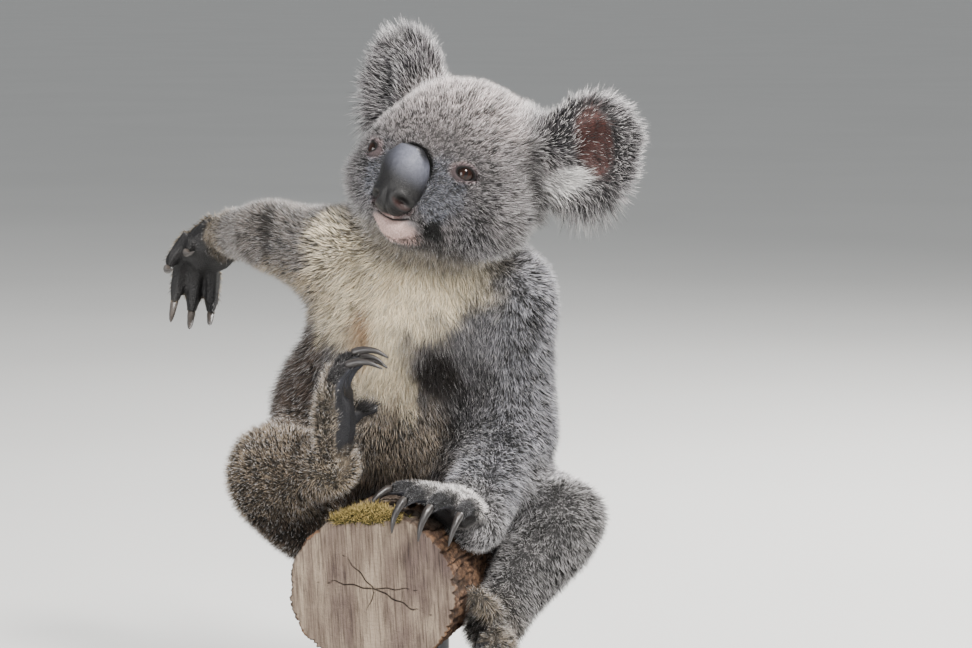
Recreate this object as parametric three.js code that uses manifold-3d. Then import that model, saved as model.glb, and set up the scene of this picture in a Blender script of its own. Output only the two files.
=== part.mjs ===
// A life-size koala that sits astride a cut length of log, held up by a plain display stand.
// Millimetres, +Z up, +X to the animal's left, -Y the way its chest faces.
// The origin is the centre of the stand's underside.
//
// The body is flesh on a skeleton: masses that melt into each other round the bones.
// Each sub-part is a loft whose sections are found by reaching out from a bone to that flesh,
// and a later sub-part is carved by the earlier ones that it meets.
import * as THREE from 'three';
import { LoftGeometry } from 'three/addons/geometries/LoftGeometry.js';
import { mergeVertices } from 'three/addons/utils/BufferGeometryUtils.js';
import Module from 'manifold-3d';

const wasm = await Module();
wasm.setup();

const { degToRad: rad, lerp } = THREE.MathUtils;
const at = (x, y, z) => new THREE.Vector3(x, y, z);
const UP = at(0, 0, 1);
const GAP = 0.4; // clearance between neighbouring pieces

// ---- Driving dimensions ----

const STAND = {
  width: 320,
  depth: 290,
  thickness: 18,
  corner: 30,
  rod: 9, // radius
  rodInLog: 30, // how deep a rod sits in the log
  rodMiddle: 141, // how far behind the sawn end the two rods are centred
  rodSpread: 86, // how far from there each one stands
};

const LOG = {
  front: at(-22, -116, 171), // centre of the sawn end
  halfWidth: 69,
  halfHeight: 64,
  length: 318,
  turn: 12, // degrees that it points away from straight back
  chamfer: 5,
  rib: 1.6, // how far its broad ribs of bark stand out
  furrow: 1.1, // and the finer ones between them
};

const BONE = { humerus: 108, forearm: 112, palm: 44, femur: 122, shin: 106, sole: 64 };

// The head turns towards the animal's right, and leans over to it.
const HEAD = { centre: at(36.6, -25, 488), yaw: -29, nod: -8.5, lean: 12 };
const EYE = { radius: 8.2, azimuth: 40, elevation: 3, sunk: 4.2 };
const EAR = { side: 90, back: 46, halfWidth: 51, halfHeight: 61, halfDepth: 23, twist: 14 };
const NOSE = { front: 85, top: 18, bottom: -43, halfWidth: 21 };

// Directions are an azimuth from -Y towards +X, and an elevation, in degrees.
function heading(azimuth, elevation) {
  const flat = Math.cos(rad(elevation));
  return at(Math.sin(rad(azimuth)) * flat, -Math.cos(rad(azimuth)) * flat, Math.sin(rad(elevation)));
}
const from = (joint, length, azimuth, elevation) =>
  joint.clone().addScaledVector(heading(azimuth, elevation), length);

// ---- Skeleton ----

const spine = {
  rump: at(3, 92, 236),
  belly: at(-5, 50, 285),
  chest: at(7, 28, 366),
  nape: at(26, 10, 432),
};

const left = { shoulder: at(84, 1, 384), hip: at(42, 92, 204) };
left.elbow = from(left.shoulder, BONE.humerus, 191, -78);
left.wrist = from(left.elbow, BONE.forearm, -15, -33.5);
left.knee = from(left.hip, BONE.femur, 43, 1);
left.ankle = from(left.knee, BONE.shin, -44, -42);

const right = { shoulder: at(-48, 20, 414), hip: at(-42, 88, 204) };
right.elbow = from(right.shoulder, BONE.humerus, -141, 8);
right.wrist = from(right.elbow, BONE.forearm, -161, -4);
right.knee = from(right.hip, BONE.femur, -31, 20);
right.ankle = from(right.knee, BONE.shin, 28, 10);

// ---- Flesh: signed distances to masses, and how they melt together ----

/** Flesh round a bone from a to b, ra thick at a and rb at b. */
function limb(a, b, ra, rb) {
  const bone = b.clone().sub(a);
  const along = new THREE.Vector3();
  return (p) => {
    along.subVectors(p, a);
    const share = THREE.MathUtils.clamp(along.dot(bone) / bone.lengthSq(), 0, 1);
    return along.addScaledVector(bone, -share).length() - lerp(ra, rb, share);
  };
}

/** An egg of flesh with the three half-sizes given, turned by a quaternion. */
function ball(centre, x, y, z, turn = new THREE.Quaternion()) {
  const back = turn.clone().invert();
  const q = new THREE.Vector3();
  return (p) => {
    q.subVectors(p, centre).applyQuaternion(back);
    const near = Math.hypot(q.x / x, q.y / y, q.z / z);
    const steep = Math.hypot(q.x / (x * x), q.y / (y * y), q.z / (z * z));
    return steep > 1e-9 ? (near * (near - 1)) / steep : -Math.min(x, y, z);
  };
}

/** The masses as one body, with fillets about as wide as soft. */
function melt(soft, ...masses) {
  return (p) =>
    masses.reduce((a, mass) => {
      const b = mass(p);
      const blend = Math.max(soft - Math.abs(a - b), 0) / soft;
      return Math.min(a, b) - (blend * blend * soft) / 4;
    }, Infinity);
}

const SHORTEST_STEP = 0.8;
const HALVINGS = 14; // of the last step, which find the surface to a few micrometres

/** Where a straight line out of the flesh leaves it, cover millimetres above its surface. */
function reach(flesh, origin, direction, cover) {
  const p = new THREE.Vector3();
  const height = (t) => flesh(p.copy(origin).addScaledVector(direction, t)) - cover;
  let inside = 0;
  let step = Math.max(-height(0), 1);
  while (height(inside + step) < 0) {
    inside += step;
    step = Math.max(-height(inside) * 0.9, SHORTEST_STEP);
  }
  let outside = inside + step;
  for (let i = 0; i < HALVINGS; i++) {
    const middle = (inside + outside) / 2;
    if (height(middle) < 0) inside = middle;
    else outside = middle;
  }
  return origin.clone().addScaledVector(direction, inside);
}

// ---- Solids ----

function solidOf(geometry) {
  const bare = new THREE.BufferGeometry().setAttribute('position', geometry.getAttribute('position'));
  if (geometry.index) bare.setIndex(geometry.index);
  const merged = mergeVertices(bare, 1e-3);
  const corners = merged.index.array;
  const triVerts = [];
  for (let i = 0; i < corners.length; i += 3) {
    const [a, b, c] = corners.slice(i, i + 3);
    if (a !== b && b !== c && c !== a) triVerts.push(a, b, c); // none that a pole closed to a line
  }
  return new wasm.Manifold(
    new wasm.Mesh({
      numProp: 3,
      vertProperties: merged.attributes.position.array,
      triVerts: new Uint32Array(triVerts),
    }),
  );
}

function geometryOf(solid) {
  const { vertProperties, triVerts } = solid.getMesh();
  return new THREE.BufferGeometry()
    .setAttribute('position', new THREE.BufferAttribute(vertProperties, 3))
    .setIndex(new THREE.BufferAttribute(triVerts, 1));
}

/** A skin over sections of which the first and the last are flat, or are a single point. */
function loft(sections) {
  const isFlat = (section) => section[0] !== section[1];
  return solidOf(
    new LoftGeometry(sections, { capStart: isFlat(sections[0]), capEnd: isFlat(sections.at(-1)) }),
  );
}

const ROUND_END = [32, 62]; // degrees off the bone of the rings that round off an end

/**
 * The flesh between two points of a bone. Where a cut is given, the end is flat across that
 * direction, and elsewhere it is round.
 */
function segment(flesh, a, b, { startCut, endCut, sides = 14, rings = 6 }, cover) {
  const axis = b.clone().sub(a).normalize();
  const sideways = Math.abs(axis.z) > 0.8 ? at(1, 0, 0) : UP; // well off the axis
  const seam = new THREE.Vector3().crossVectors(axis, sideways).normalize();
  const first = startCut ?? axis;
  const last = endCut ?? axis;
  const turned = (normal, k) => {
    const e1 = seam.clone().addScaledVector(normal, -seam.dot(normal)).normalize();
    const e2 = new THREE.Vector3().crossVectors(normal, e1);
    const angle = (k / sides) * 2 * Math.PI;
    return e1.multiplyScalar(Math.cos(angle)).addScaledVector(e2, Math.sin(angle));
  };
  const ring = (origin, normal, tilt) =>
    Array.from({ length: sides }, (_, k) => {
      const out = turned(normal, k).multiplyScalar(Math.cos(rad(tilt)));
      return reach(flesh, origin, out.addScaledVector(normal, Math.sin(rad(tilt))).normalize(), cover);
    });
  const pole = (origin, out) => Array(sides).fill(reach(flesh, origin, out, cover));
  const sections = [];
  if (!startCut) {
    sections.push(pole(a, axis.clone().negate()), ...ROUND_END.map((off) => ring(a, axis, off - 90)));
  }
  const start = a.clone().addScaledVector(axis, startCut ? -cover : 0);
  const end = b.clone().addScaledVector(axis, endCut ? cover : 0);
  for (let i = 0; i <= rings; i++) {
    const share = i / rings;
    sections.push(ring(start.clone().lerp(end, share), first.clone().lerp(last, share).normalize(), 0));
  }
  if (!endCut) sections.push(...ROUND_END.map((off) => ring(b, axis, 90 - off)).reverse(), pole(b, axis));
  return loft(sections);
}

/** Flesh all round a centre, in rings from the pole axis, closer together near it. */
function orb(flesh, centre, axis, { sides, rings, crowd = 1 }, cover) {
  const seam = new THREE.Vector3().crossVectors(axis, UP).normalize();
  const across = new THREE.Vector3().crossVectors(seam, axis);
  const pole = (out) => Array(sides).fill(reach(flesh, centre, out, cover));
  const sections = Array.from({ length: rings }, (_, i) => {
    const tilt = Math.PI * ((i + 1) / (rings + 1)) ** crowd;
    return Array.from({ length: sides }, (_, k) => {
      const angle = (k / sides) * 2 * Math.PI;
      const out = seam.clone().multiplyScalar(Math.cos(angle)).addScaledVector(across, Math.sin(angle));
      out.multiplyScalar(Math.sin(tilt)).addScaledVector(axis, Math.cos(tilt));
      return reach(flesh, centre, out, cover);
    });
  });
  return loft([pole(axis), ...sections, pole(axis.clone().negate())]);
}

/** A round tube along a curve, its radius given along it. */
function tube(path, radiusAt, sides, rings, cover) {
  const frames = path.computeFrenetFrames(rings, false);
  const sections = Array.from({ length: rings + 1 }, (_, i) => {
    const share = i / rings;
    const centre = path.getPointAt(share);
    if (i === 0) centre.addScaledVector(frames.tangents[0], -cover);
    if (i === rings) centre.addScaledVector(frames.tangents[rings], cover);
    const radius = radiusAt(share) + cover;
    return Array.from({ length: sides }, (_, k) => {
      const angle = (k / sides) * 2 * Math.PI;
      return centre
        .clone()
        .addScaledVector(frames.normals[i], Math.cos(angle) * radius)
        .addScaledVector(frames.binormals[i], Math.sin(angle) * radius);
    });
  });
  return loft(sections);
}

// ---- Materials ----

const finish = (color, roughness) => new THREE.MeshStandardMaterial({ color, roughness, metalness: 0 });
const GREY_FUR = finish(0x86837f, 0.95);
const PALE_FUR = finish(0xc9bda6, 0.95);
const BROWN_FUR = finish(0x6b6154, 0.95);
const BARE_SKIN = finish(0x2b2a2d, 0.6);
const HORN = finish(0x1d1c1e, 0.35);
const EYEBALL = finish(0x2a1409, 0.08);
const WOOD = finish(0x9a8271, 0.9);
const STAND_PAINT = finish(0x2f3133, 0.5);

const pieces = []; // each { name, material, solid, grown }, in the order in which they carve

/** Adds a piece, carved by all earlier pieces that it would overlap. */
function add(name, material, make) {
  let solid = make(0);
  const box = boxOf(solid);
  for (const earlier of pieces) {
    if (box.intersectsBox(earlier.box) && solid.intersect(earlier.grown).volume() > 0) {
      solid = solid.subtract(earlier.grown);
    }
  }
  const bodies = solid.decompose().sort((a, b) => b.volume() - a.volume());
  const grown = make(GAP);
  pieces.push({ name, material, solid: bodies[0], grown, box: boxOf(grown) });
}

function boxOf(solid) {
  const { min, max } = solid.boundingBox();
  return new THREE.Box3(at(...min), at(...max));
}

// ---- Stand and log ----

const logAxis = at(Math.sin(rad(LOG.turn)), Math.cos(rad(LOG.turn)), 0);
const logAcross = at(logAxis.y, -logAxis.x, 0);
const onLog = (along, across, up) =>
  LOG.front
    .clone()
    .addScaledVector(logAxis, along)
    .addScaledVector(logAcross, across)
    .addScaledVector(UP, up);

function standBase(cover) {
  const [w, d, r] = [STAND.width / 2 + cover, STAND.depth / 2 + cover, STAND.corner];
  const outline = new THREE.Shape();
  const corners = [[w - r, r - d, -90], [w - r, d - r, 0], [r - w, d - r, 90], [r - w, r - d, 180]];
  for (const [x, y, start] of corners) outline.absarc(x, y, r, rad(start), rad(start + 90), false);
  const slab = { depth: STAND.thickness + cover, bevelEnabled: false, curveSegments: 5 };
  return solidOf(new THREE.ExtrudeGeometry(outline, slab));
}

function standRod(along) {
  const foot = onLog(along, 0, 0).setZ(STAND.thickness + GAP);
  const height = LOG.front.z - LOG.halfHeight + STAND.rodInLog - foot.z;
  return (cover) => {
    const rod = new THREE.CylinderGeometry(STAND.rod + cover, STAND.rod + cover, height + 2 * cover, 12);
    rod.rotateX(Math.PI / 2).translate(foot.x, foot.y, foot.z + height / 2);
    return solidOf(rod);
  };
}

/** The log's outline: an oval trunk with ribs of bark, a little smaller at its sawn ends. */
function logSection(along, cover) {
  const sides = 18;
  return Array.from({ length: sides }, (_, k) => {
    const angle = (k / sides) * 2 * Math.PI;
    const ribs = LOG.rib * Math.cos(5 * angle + along / 60) + LOG.furrow * Math.cos(11 * angle - along / 35);
    const isSawnEnd = along <= 0 || along >= LOG.length;
    const out = ribs + cover - (isSawnEnd ? 2 : 0.5);
    return onLog(along, Math.cos(angle) * (LOG.halfWidth + out), Math.sin(angle) * (LOG.halfHeight + out));
  });
}

function log(cover) {
  const { length, chamfer } = LOG;
  const stations = [-cover, chamfer, length / 2, length - chamfer, length + cover];
  return loft(stations.map((along) => logSection(along, cover).toReversed()));
}

add('stand_base', STAND_PAINT, standBase);
add('stand_rod_front', STAND_PAINT, standRod(STAND.rodMiddle - STAND.rodSpread));
add('stand_rod_rear', STAND_PAINT, standRod(STAND.rodMiddle + STAND.rodSpread));
add('log', WOOD, log);

// ---- Paws ----

const DIGIT = {
  root: 9.5, // radius at the palm, and at the last joint
  tip: 6.4,
  bones: [20, 16, 9],
  bends: [0.1, 0.6, 1.1], // how much of its curl each bone has taken
  sides: 6,
  rings: 3,
};
const CLAW = { length: 26, root: 3.9, point: 0.5, sides: 5, rings: 3 };

/** A paw's own axes: ahead from heel to toes, face out of the bare pads, and side across. */
function pawAxes(ahead, face) {
  const f = ahead.clone().normalize();
  const out = face.clone().addScaledVector(f, -face.dot(f)).normalize();
  return { ahead: f, face: out, side: new THREE.Vector3().crossVectors(f, out) };
}

/**
 * A digit's joints: root, two knuckles and the tip, then the claw's tip. Across and forth place
 * the root on the palm, splay turns it sideways, and curl bends each joint towards the pads.
 */
function digitJoints(heel, axes, { across, forth, splay, curl, lift = 0, size = 1 }) {
  const root = heel.clone().addScaledVector(axes.side, across).addScaledVector(axes.ahead, forth);
  const joints = [root.addScaledVector(axes.face, -lift)];
  const straight = axes.ahead
    .clone()
    .multiplyScalar(Math.cos(rad(splay)))
    .addScaledVector(axes.side, Math.sin(rad(splay)));
  const bent = (angle) =>
    straight.clone().multiplyScalar(Math.cos(rad(angle))).addScaledVector(axes.face, Math.sin(rad(angle)));
  DIGIT.bones.forEach((bone, i) => {
    joints.push(joints.at(-1).clone().addScaledVector(bent(curl * DIGIT.bends[i]), bone * size));
  });
  const last = curl * DIGIT.bends.at(-1);
  return { joints, tip: bent(last), inward: bent(last + 90), size };
}

function digitTube({ joints, size }, cover) {
  const path = new THREE.CatmullRomCurve3(joints);
  const rounding = (share) => (share === 1 ? 0.6 : 1);
  const radius = (share) => size * lerp(DIGIT.root, DIGIT.tip, share) * rounding(share);
  return tube(path, radius, DIGIT.sides, DIGIT.rings, cover);
}

/** A claw out of the end of a digit: it leaves straight, then hooks over towards the pads. */
function claw({ joints, tip, inward, size }) {
  const length = CLAW.length * size;
  const onClaw = (forth, down) =>
    joints.at(-1).clone().addScaledVector(tip, forth).addScaledVector(inward, down);
  const path = new THREE.QuadraticBezierCurve3(
    onClaw(-DIGIT.tip, -1.5),
    onClaw(length * 0.5, -2),
    onClaw(length * 0.75, length * 0.5),
  );
  const radius = (share) => CLAW.root * size * (1 - share) ** 0.7 + CLAW.point;
  return (cover) => tube(path, radius, CLAW.sides, CLAW.rings, cover);
}

/**
 * A hand or foot: the palm's flesh, and its digits joined to it, each with a separate claw.
 * A digit marked blunt has none.
 */
function addPaw(name, heel, ahead, face, palm, digits) {
  const axes = pawAxes(ahead, face);
  const made = digits.map((digit) => ({ ...digit, ...digitJoints(heel, axes, digit) }));
  made.forEach((digit, i) => {
    if (!digit.blunt) add(`${name}_claw_${i + 1}`, HORN, claw(digit));
  });
  const turn = new THREE.Quaternion().setFromRotationMatrix(
    new THREE.Matrix4().makeBasis(axes.side, axes.ahead, axes.face),
  );
  const middle = heel.clone().addScaledVector(axes.ahead, palm.length * 0.48);
  const inLine = made.filter((digit) => Math.abs(digit.splay) < 50);
  const flesh = melt(
    9,
    ball(middle, palm.halfWidth, palm.length * 0.62, palm.halfDepth, turn),
    ...inLine.map((digit) => limb(middle, digit.joints[0], 10, 9)),
  );
  const palmSolid = (cover) => orb(flesh, middle, axes.ahead, { sides: 8, rings: 5 }, cover);
  add(name, BARE_SKIN, (cover) =>
    made.reduce((paw, digit) => paw.add(digitTube(digit, cover)), palmSolid(cover)),
  );
}

const HAND = { length: BONE.palm, halfWidth: 25, halfDepth: 14 };
const FOOT = { length: BONE.sole, halfWidth: 22, halfDepth: 13 };

// The left hand lies over the sawn end's top edge, thumbs inwards and claws down the face.
addPaw('left_hand', left.wrist, at(-40, -56, 34), at(-22, -16, -80), HAND, [
  { across: -20, forth: 18, splay: -50, curl: 12, lift: 4, size: 0.85 },
  { across: -21, forth: 36, splay: -26, curl: 34, lift: 4, size: 0.9 },
  { across: -6, forth: 43, splay: -6, curl: 54, lift: 2 },
  { across: 9, forth: 41, splay: 8, curl: 56, lift: 2 },
  { across: 21, forth: 33, splay: 22, curl: 54, lift: 2, size: 0.9 },
]);

// The right hand droops from the wrist, its bare palm to the front and its thumbs outwards.
addPaw('right_hand', right.wrist, heading(-100, -36), at(-6, -60, -22), HAND, [
  { across: 18, forth: 10, splay: -6, curl: 78, size: 0.85 },
  { across: 20, forth: 30, splay: -12, curl: 74, size: 0.9 },
  { across: 10, forth: 45, splay: -40, curl: 34 },
  { across: -4, forth: 43, splay: -46, curl: 44 },
  { across: -17, forth: 36, splay: -50, curl: 54, size: 0.9 },
]);

// The left foot grips the log's flank, its clawless great toe uppermost.
addPaw('left_foot', left.ankle, at(2, -56, -34), at(-60, 0, -12), FOOT, [
  { across: -16, forth: 14, splay: -72, curl: 46, size: 1, blunt: true },
  { across: -14, forth: 52, splay: -12, curl: 40, size: 0.8 },
  { across: -5, forth: 56, splay: -2, curl: 42, size: 0.8 },
  { across: 7, forth: 56, splay: 6, curl: 44 },
  { across: 18, forth: 48, splay: 16, curl: 44 },
]);

// The right foot is raised before the belly, sole inwards and toes curled over at the top.
addPaw('right_foot', right.ankle, at(3, 0, 60), at(60, -16, -6), FOOT, [
  { across: 12, forth: 20, splay: 34, curl: 84, size: 1, blunt: true },
  { across: 12, forth: 54, splay: 8, curl: 62, size: 0.8 },
  { across: 4, forth: 58, splay: 2, curl: 62, size: 0.8 },
  { across: -8, forth: 56, splay: -5, curl: 58 },
  { across: -17, forth: 48, splay: -12, curl: 56 },
]);

// ---- Head ----

const headTurn = new THREE.Quaternion().setFromEuler(
  new THREE.Euler(rad(HEAD.nod), rad(HEAD.lean), rad(HEAD.yaw), 'ZXY'),
);
const onHead = (x, y, z) => at(x, y, z).applyQuaternion(headTurn).add(HEAD.centre);
const headBall = (x, y, z, a, b, c) => ball(onHead(x, y, z), a, b, c, headTurn);
const headLimb = (a, b, ra, rb) => limb(onHead(...a), onHead(...b), ra, rb);

const ahead = at(0, -1, 0).applyQuaternion(headTurn);

const skull = melt(
  16,
  headBall(0, 15, 14, 64, 70, 60), // cranium
  headLimb([0, -20, 22], [0, -56, 0], 32, 19), // bridge of the nose
  headBall(0, 0, -40, 48, 42, 32), // jowls
  ...[1, -1].flatMap((side) => [
    headBall(side * 37, -6, -19, 41, 44, 40), // cheek
    headBall(side * 31, -30, 13, 27, 25, 20), // brow
  ]),
);
const headFlesh = melt(
  8,
  skull,
  headBall(17, -56, -31, 19, 22, 16), // the two halves of the upper lip
  headBall(-17, -56, -31, 19, 22, 16),
  headBall(0, -50, -51, 22, 23, 15), // chin
);

for (const [name, side] of [['left_eye', 1], ['right_eye', -1]]) {
  const out = heading(side * EYE.azimuth, EYE.elevation).applyQuaternion(headTurn);
  const centre = reach(headFlesh, onHead(0, 0, 0), out, -EYE.sunk);
  const globe = ball(centre, EYE.radius, EYE.radius, EYE.radius);
  add(name, EYEBALL, (cover) => orb(globe, centre, out, { sides: 9, rings: 4 }, cover));
}

// The nose pad: a long upper part, and a shorter one at the nostrils.
const noseMiddle = (NOSE.top + NOSE.bottom) / 2;
const noseFlesh = melt(
  8,
  headBall(0, 17 - NOSE.front, NOSE.top - 27, NOSE.halfWidth, 17, 27),
  headBall(0, 12 - NOSE.front, NOSE.bottom + 15, NOSE.halfWidth - 2, 14, 15),
);
add('nose', BARE_SKIN, (cover) =>
  orb(noseFlesh, onHead(0, 17 - NOSE.front, noseMiddle), ahead, { sides: 12, rings: 6 }, cover),
);

add('head', GREY_FUR, (cover) =>
  orb(headFlesh, onHead(0, 0, 0), ahead, { sides: 22, rings: 14, crowd: 1.25 }, cover),
);

/**
 * A cupped ear, its centre up millimetres above the head's, splayed out to the side by an angle.
 * It is open to the front, and its lower inner edge runs onto the head.
 */
function addEar(name, side, up, splay) {
  const turn = headTurn
    .clone()
    .multiply(new THREE.Quaternion().setFromAxisAngle(UP, rad(side * splay)))
    .multiply(new THREE.Quaternion().setFromAxisAngle(at(0, 1, 0), rad(side * EAR.twist)));
  const centre = onHead(side * EAR.side, EAR.back, up);
  const inEar = (x, y, z) => at(side * x, y, z).applyQuaternion(turn).add(centre);
  const facing = at(0, -1, 0).applyQuaternion(turn);
  const shell = melt(
    12,
    ball(centre, EAR.halfWidth, EAR.halfDepth, EAR.halfHeight, turn),
    ball(inEar(-26, 2, -16), 27, 23, 36, turn),
  );
  const cup = inEar(10, -EAR.halfDepth - 2, 2);
  const hollow = ball(cup, 26, 20, 36, turn);
  add(name, GREY_FUR, (cover) =>
    orb(shell, centre, facing, { sides: 12, rings: 6 }, cover).subtract(
      orb(hollow, cup, facing, { sides: 9, rings: 4 }, -cover),
    ),
  );
}
addEar('left_ear', 1, 43, 32);
addEar('right_ear', -1, 56, 14);

// ---- Arms and legs ----

/** The direction of the flat cut where two bones meet at a joint. */
const cutAt = (a, joint, b) =>
  joint.clone().sub(a).normalize().add(b.clone().sub(joint).normalize()).normalize();

const limbShape = { sides: 10, rings: 3 };
const hipToThigh = 0.2; // the share of the femur that lies in the rump

/** Two segments of a limb that share one flesh, parted at the middle joint. */
function addLimb(upper, lower, near, joint, far, masses) {
  const flesh = melt(14, ...masses);
  const middle = cutAt(near, joint, far);
  add(lower, GREY_FUR, (cover) => segment(flesh, joint, far, { ...limbShape, startCut: middle }, cover));
  add(upper, GREY_FUR, (cover) => segment(flesh, near, joint, { ...limbShape, endCut: middle }, cover));
}

addLimb('left_upper_arm', 'left_forearm', left.shoulder, left.elbow, left.wrist, [
  ball(left.shoulder, 38, 42, 48),
  limb(left.shoulder, left.elbow, 39, 42),
  ball(left.elbow, 45, 44, 45),
  limb(left.elbow, left.wrist, 43, 27),
]);

addLimb('right_upper_arm', 'right_forearm', right.shoulder, right.elbow, right.wrist, [
  ball(right.shoulder, 42, 42, 49),
  limb(right.shoulder, right.elbow, 44, 28),
  limb(right.elbow, right.wrist, 28, 20),
]);

const leftThighTop = left.hip.clone().lerp(left.knee, hipToThigh);
addLimb('left_thigh', 'left_shin', leftThighTop, left.knee, left.ankle, [
  limb(left.hip, left.knee, 58, 38),
  ball(left.knee, 36, 36, 37),
  limb(left.knee, left.ankle, 37, 26),
]);

const rightThighTop = right.hip.clone().lerp(right.knee, hipToThigh);
addLimb('right_thigh', 'right_shin', rightThighTop, right.knee, right.ankle, [
  limb(right.hip, right.knee, 64, 42),
  ball(right.knee, 41, 42, 44),
  ball(right.hip.clone().lerp(right.knee, 0.6).add(at(-5, 0, -26)), 38, 46, 38), // hanging haunch
  limb(right.knee, right.ankle, 40, 20),
]);

// ---- Trunk ----

const trunkFlesh = melt(
  26,
  ball(spine.rump, 96, 76, 62),
  ball(spine.belly, 110, 84, 88),
  ball(spine.chest, 88, 72, 80),
  ball(spine.nape.clone().add(at(0, 36, -22)), 78, 56, 56), // shoulder hump
  limb(spine.chest, spine.nape, 62, 60),
);
const across = at(0, -0.25, 1).normalize(); // the lie of the cuts between trunk pieces
const seat = spine.rump.clone().add(at(0, 0, -12));
const waist = spine.belly.clone().lerp(spine.chest, 0.45);
const hips = spine.rump.clone().lerp(spine.belly, 0.42);
const collar = spine.chest.clone().lerp(spine.nape, 0.72);

/** A stretch of the trunk between two points of the spine, cut flat where it meets the next. */
function addTrunk(name, material, a, b, cuts, rings) {
  const [startCut, endCut] = cuts.map((isCut) => (isCut ? across : undefined));
  const shape = { sides: 16, rings, startCut, endCut };
  add(name, material, (cover) => segment(trunkFlesh, a, b, shape, cover));
}
addTrunk('neck', PALE_FUR, collar, onHead(0, 10, 0), [true, false], 2);
addTrunk('chest', PALE_FUR, waist, collar, [true, true], 3);
addTrunk('belly', BROWN_FUR, hips, waist, [true, true], 2);
addTrunk('rump', BROWN_FUR, seat, hips, [false, true], 2);

// ---- The model ----

/** The group that a piece belongs to: the first whose names it matches. */
const GROUPS = [
  ['stand', /^stand_|^log$/],
  ['head_and_neck', /^(head|neck|nose)$|_(eye|ear)$/],
  ['left_arm', /^left_(hand|forearm|upper_arm)/],
  ['right_arm', /^right_(hand|forearm|upper_arm)/],
  ['left_leg', /^left_(foot|shin|thigh)/],
  ['right_leg', /^right_(foot|shin|thigh)/],
  ['trunk', /^(chest|belly|rump)$/],
];

const model = new THREE.Group();
for (const [groupName, names] of GROUPS) {
  const group = new THREE.Group();
  group.name = groupName;
  for (const { name, material, solid } of pieces.filter((piece) => names.test(piece.name))) {
    const mesh = new THREE.Mesh(geometryOf(solid), material);
    mesh.name = name;
    group.add(mesh);
  }
  model.add(group);
}

export default model;
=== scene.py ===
"""A life-size koala astride a cut length of log, dressed round its solids.

One skin lies under the coat. Tufts of fur lie over it in the directions that the real coat takes.
Metres, +Z up, +X to the animal's left, -Y the way its chest faces.
"""

import logging
import math
from collections.abc import Sequence
from dataclasses import dataclass, field
from enum import Enum

import bmesh
import bpy
import numpy as np
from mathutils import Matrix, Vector
from mathutils.bvhtree import BVHTree


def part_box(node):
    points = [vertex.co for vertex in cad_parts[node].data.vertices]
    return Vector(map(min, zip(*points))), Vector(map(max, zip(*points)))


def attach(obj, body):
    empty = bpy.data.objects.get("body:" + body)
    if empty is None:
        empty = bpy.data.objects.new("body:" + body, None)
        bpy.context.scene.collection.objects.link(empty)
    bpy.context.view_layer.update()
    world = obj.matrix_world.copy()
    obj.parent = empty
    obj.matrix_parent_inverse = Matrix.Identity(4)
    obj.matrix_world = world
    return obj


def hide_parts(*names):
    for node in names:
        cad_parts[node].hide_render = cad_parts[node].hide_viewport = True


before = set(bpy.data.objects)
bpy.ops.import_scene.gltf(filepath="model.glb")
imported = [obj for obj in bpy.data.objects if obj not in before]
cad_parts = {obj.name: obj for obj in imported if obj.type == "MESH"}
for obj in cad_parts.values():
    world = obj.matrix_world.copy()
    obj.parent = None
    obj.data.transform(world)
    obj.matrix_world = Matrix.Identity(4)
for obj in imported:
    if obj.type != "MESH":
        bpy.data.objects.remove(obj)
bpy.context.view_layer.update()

REPORT = logging.getLogger("koala")
BODY = "root"
MM = 0.001
Array = np.ndarray
Socket = bpy.types.NodeSocket
Thing = bpy.types.Object
Mesh = bpy.types.Mesh
Material = bpy.types.Material
Colour = tuple[float, float, float]
Path = Sequence[Sequence[float]]
Faces = Sequence[Sequence[int]]


# ---- Small tools ----


def linear(red: float, green: float, blue: float) -> Colour:
    """A display colour, 0 to 255, as scene-linear red, green and blue."""
    shown = np.array([red, green, blue]) / 255
    return tuple(np.where(shown <= 0.04045, shown / 12.92, ((shown + 0.055) / 1.055) ** 2.4).tolist())


def length_of(rows: Array) -> Array:
    """How long each row is."""
    return np.linalg.norm(rows, axis=1)


def unit(vectors: Array) -> Array:
    """The same directions, one long."""
    return vectors / np.maximum(np.linalg.norm(vectors, axis=-1, keepdims=True), 1e-9)


def ease(values: Array, low: float, high: float) -> Array:
    """0 up to low, 1 from high on, and a smooth step between; low may be above high."""
    share = np.clip((values - low) / (high - low), 0, 1)
    return share * share * (3 - 2 * share)


def bell(values: Array, middle: float, width: float) -> Array:
    """1 at the middle, falling smoothly to 0 on both sides."""
    return np.exp(-(((values - middle) / width) ** 2))


def blend(first: Array, second: Array | Colour, share: Array) -> Array:
    """Rows of first turning into second by a share for each row."""
    return first * (1 - share[:, None]) + second * share[:, None]


def towards(values: Array, goal: float, share: Array) -> Array:
    """Values brought towards a goal by a share for each."""
    return values + (goal - values) * share


def noise(points: Array, cell: float, seed: int) -> Array:
    """Smooth value noise from -1 to 1.

    Args:
        points: rows of three.
        cell: the lattice's spacing, in the points' unit.
        seed: picks the pattern.

    Returns:
        One number for each point.
    """
    place = points / cell + 137.0
    corner = np.floor(place).astype(np.int64)
    share = place - corner
    share = share * share * (3 - 2 * share)
    total = np.zeros(len(points))
    for dx in (0, 1):
        for dy in (0, 1):
            for dz in (0, 1):
                x, y, z = corner[:, 0] + dx, corner[:, 1] + dy, corner[:, 2] + dz
                mixed = (x * 73856093) ^ (y * 19349663) ^ (z * 83492791) ^ (seed * 2654435761)
                mixed = (mixed ^ (mixed >> 13)) * 1274126177 & 0x7FFFFFFF
                value = (mixed ^ (mixed >> 16)) % 65536 / 32767.5 - 1
                weight = np.abs(1 - dx - share[:, 0]) * np.abs(1 - dy - share[:, 1])
                total += value * weight * np.abs(1 - dz - share[:, 2])
    return total


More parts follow.
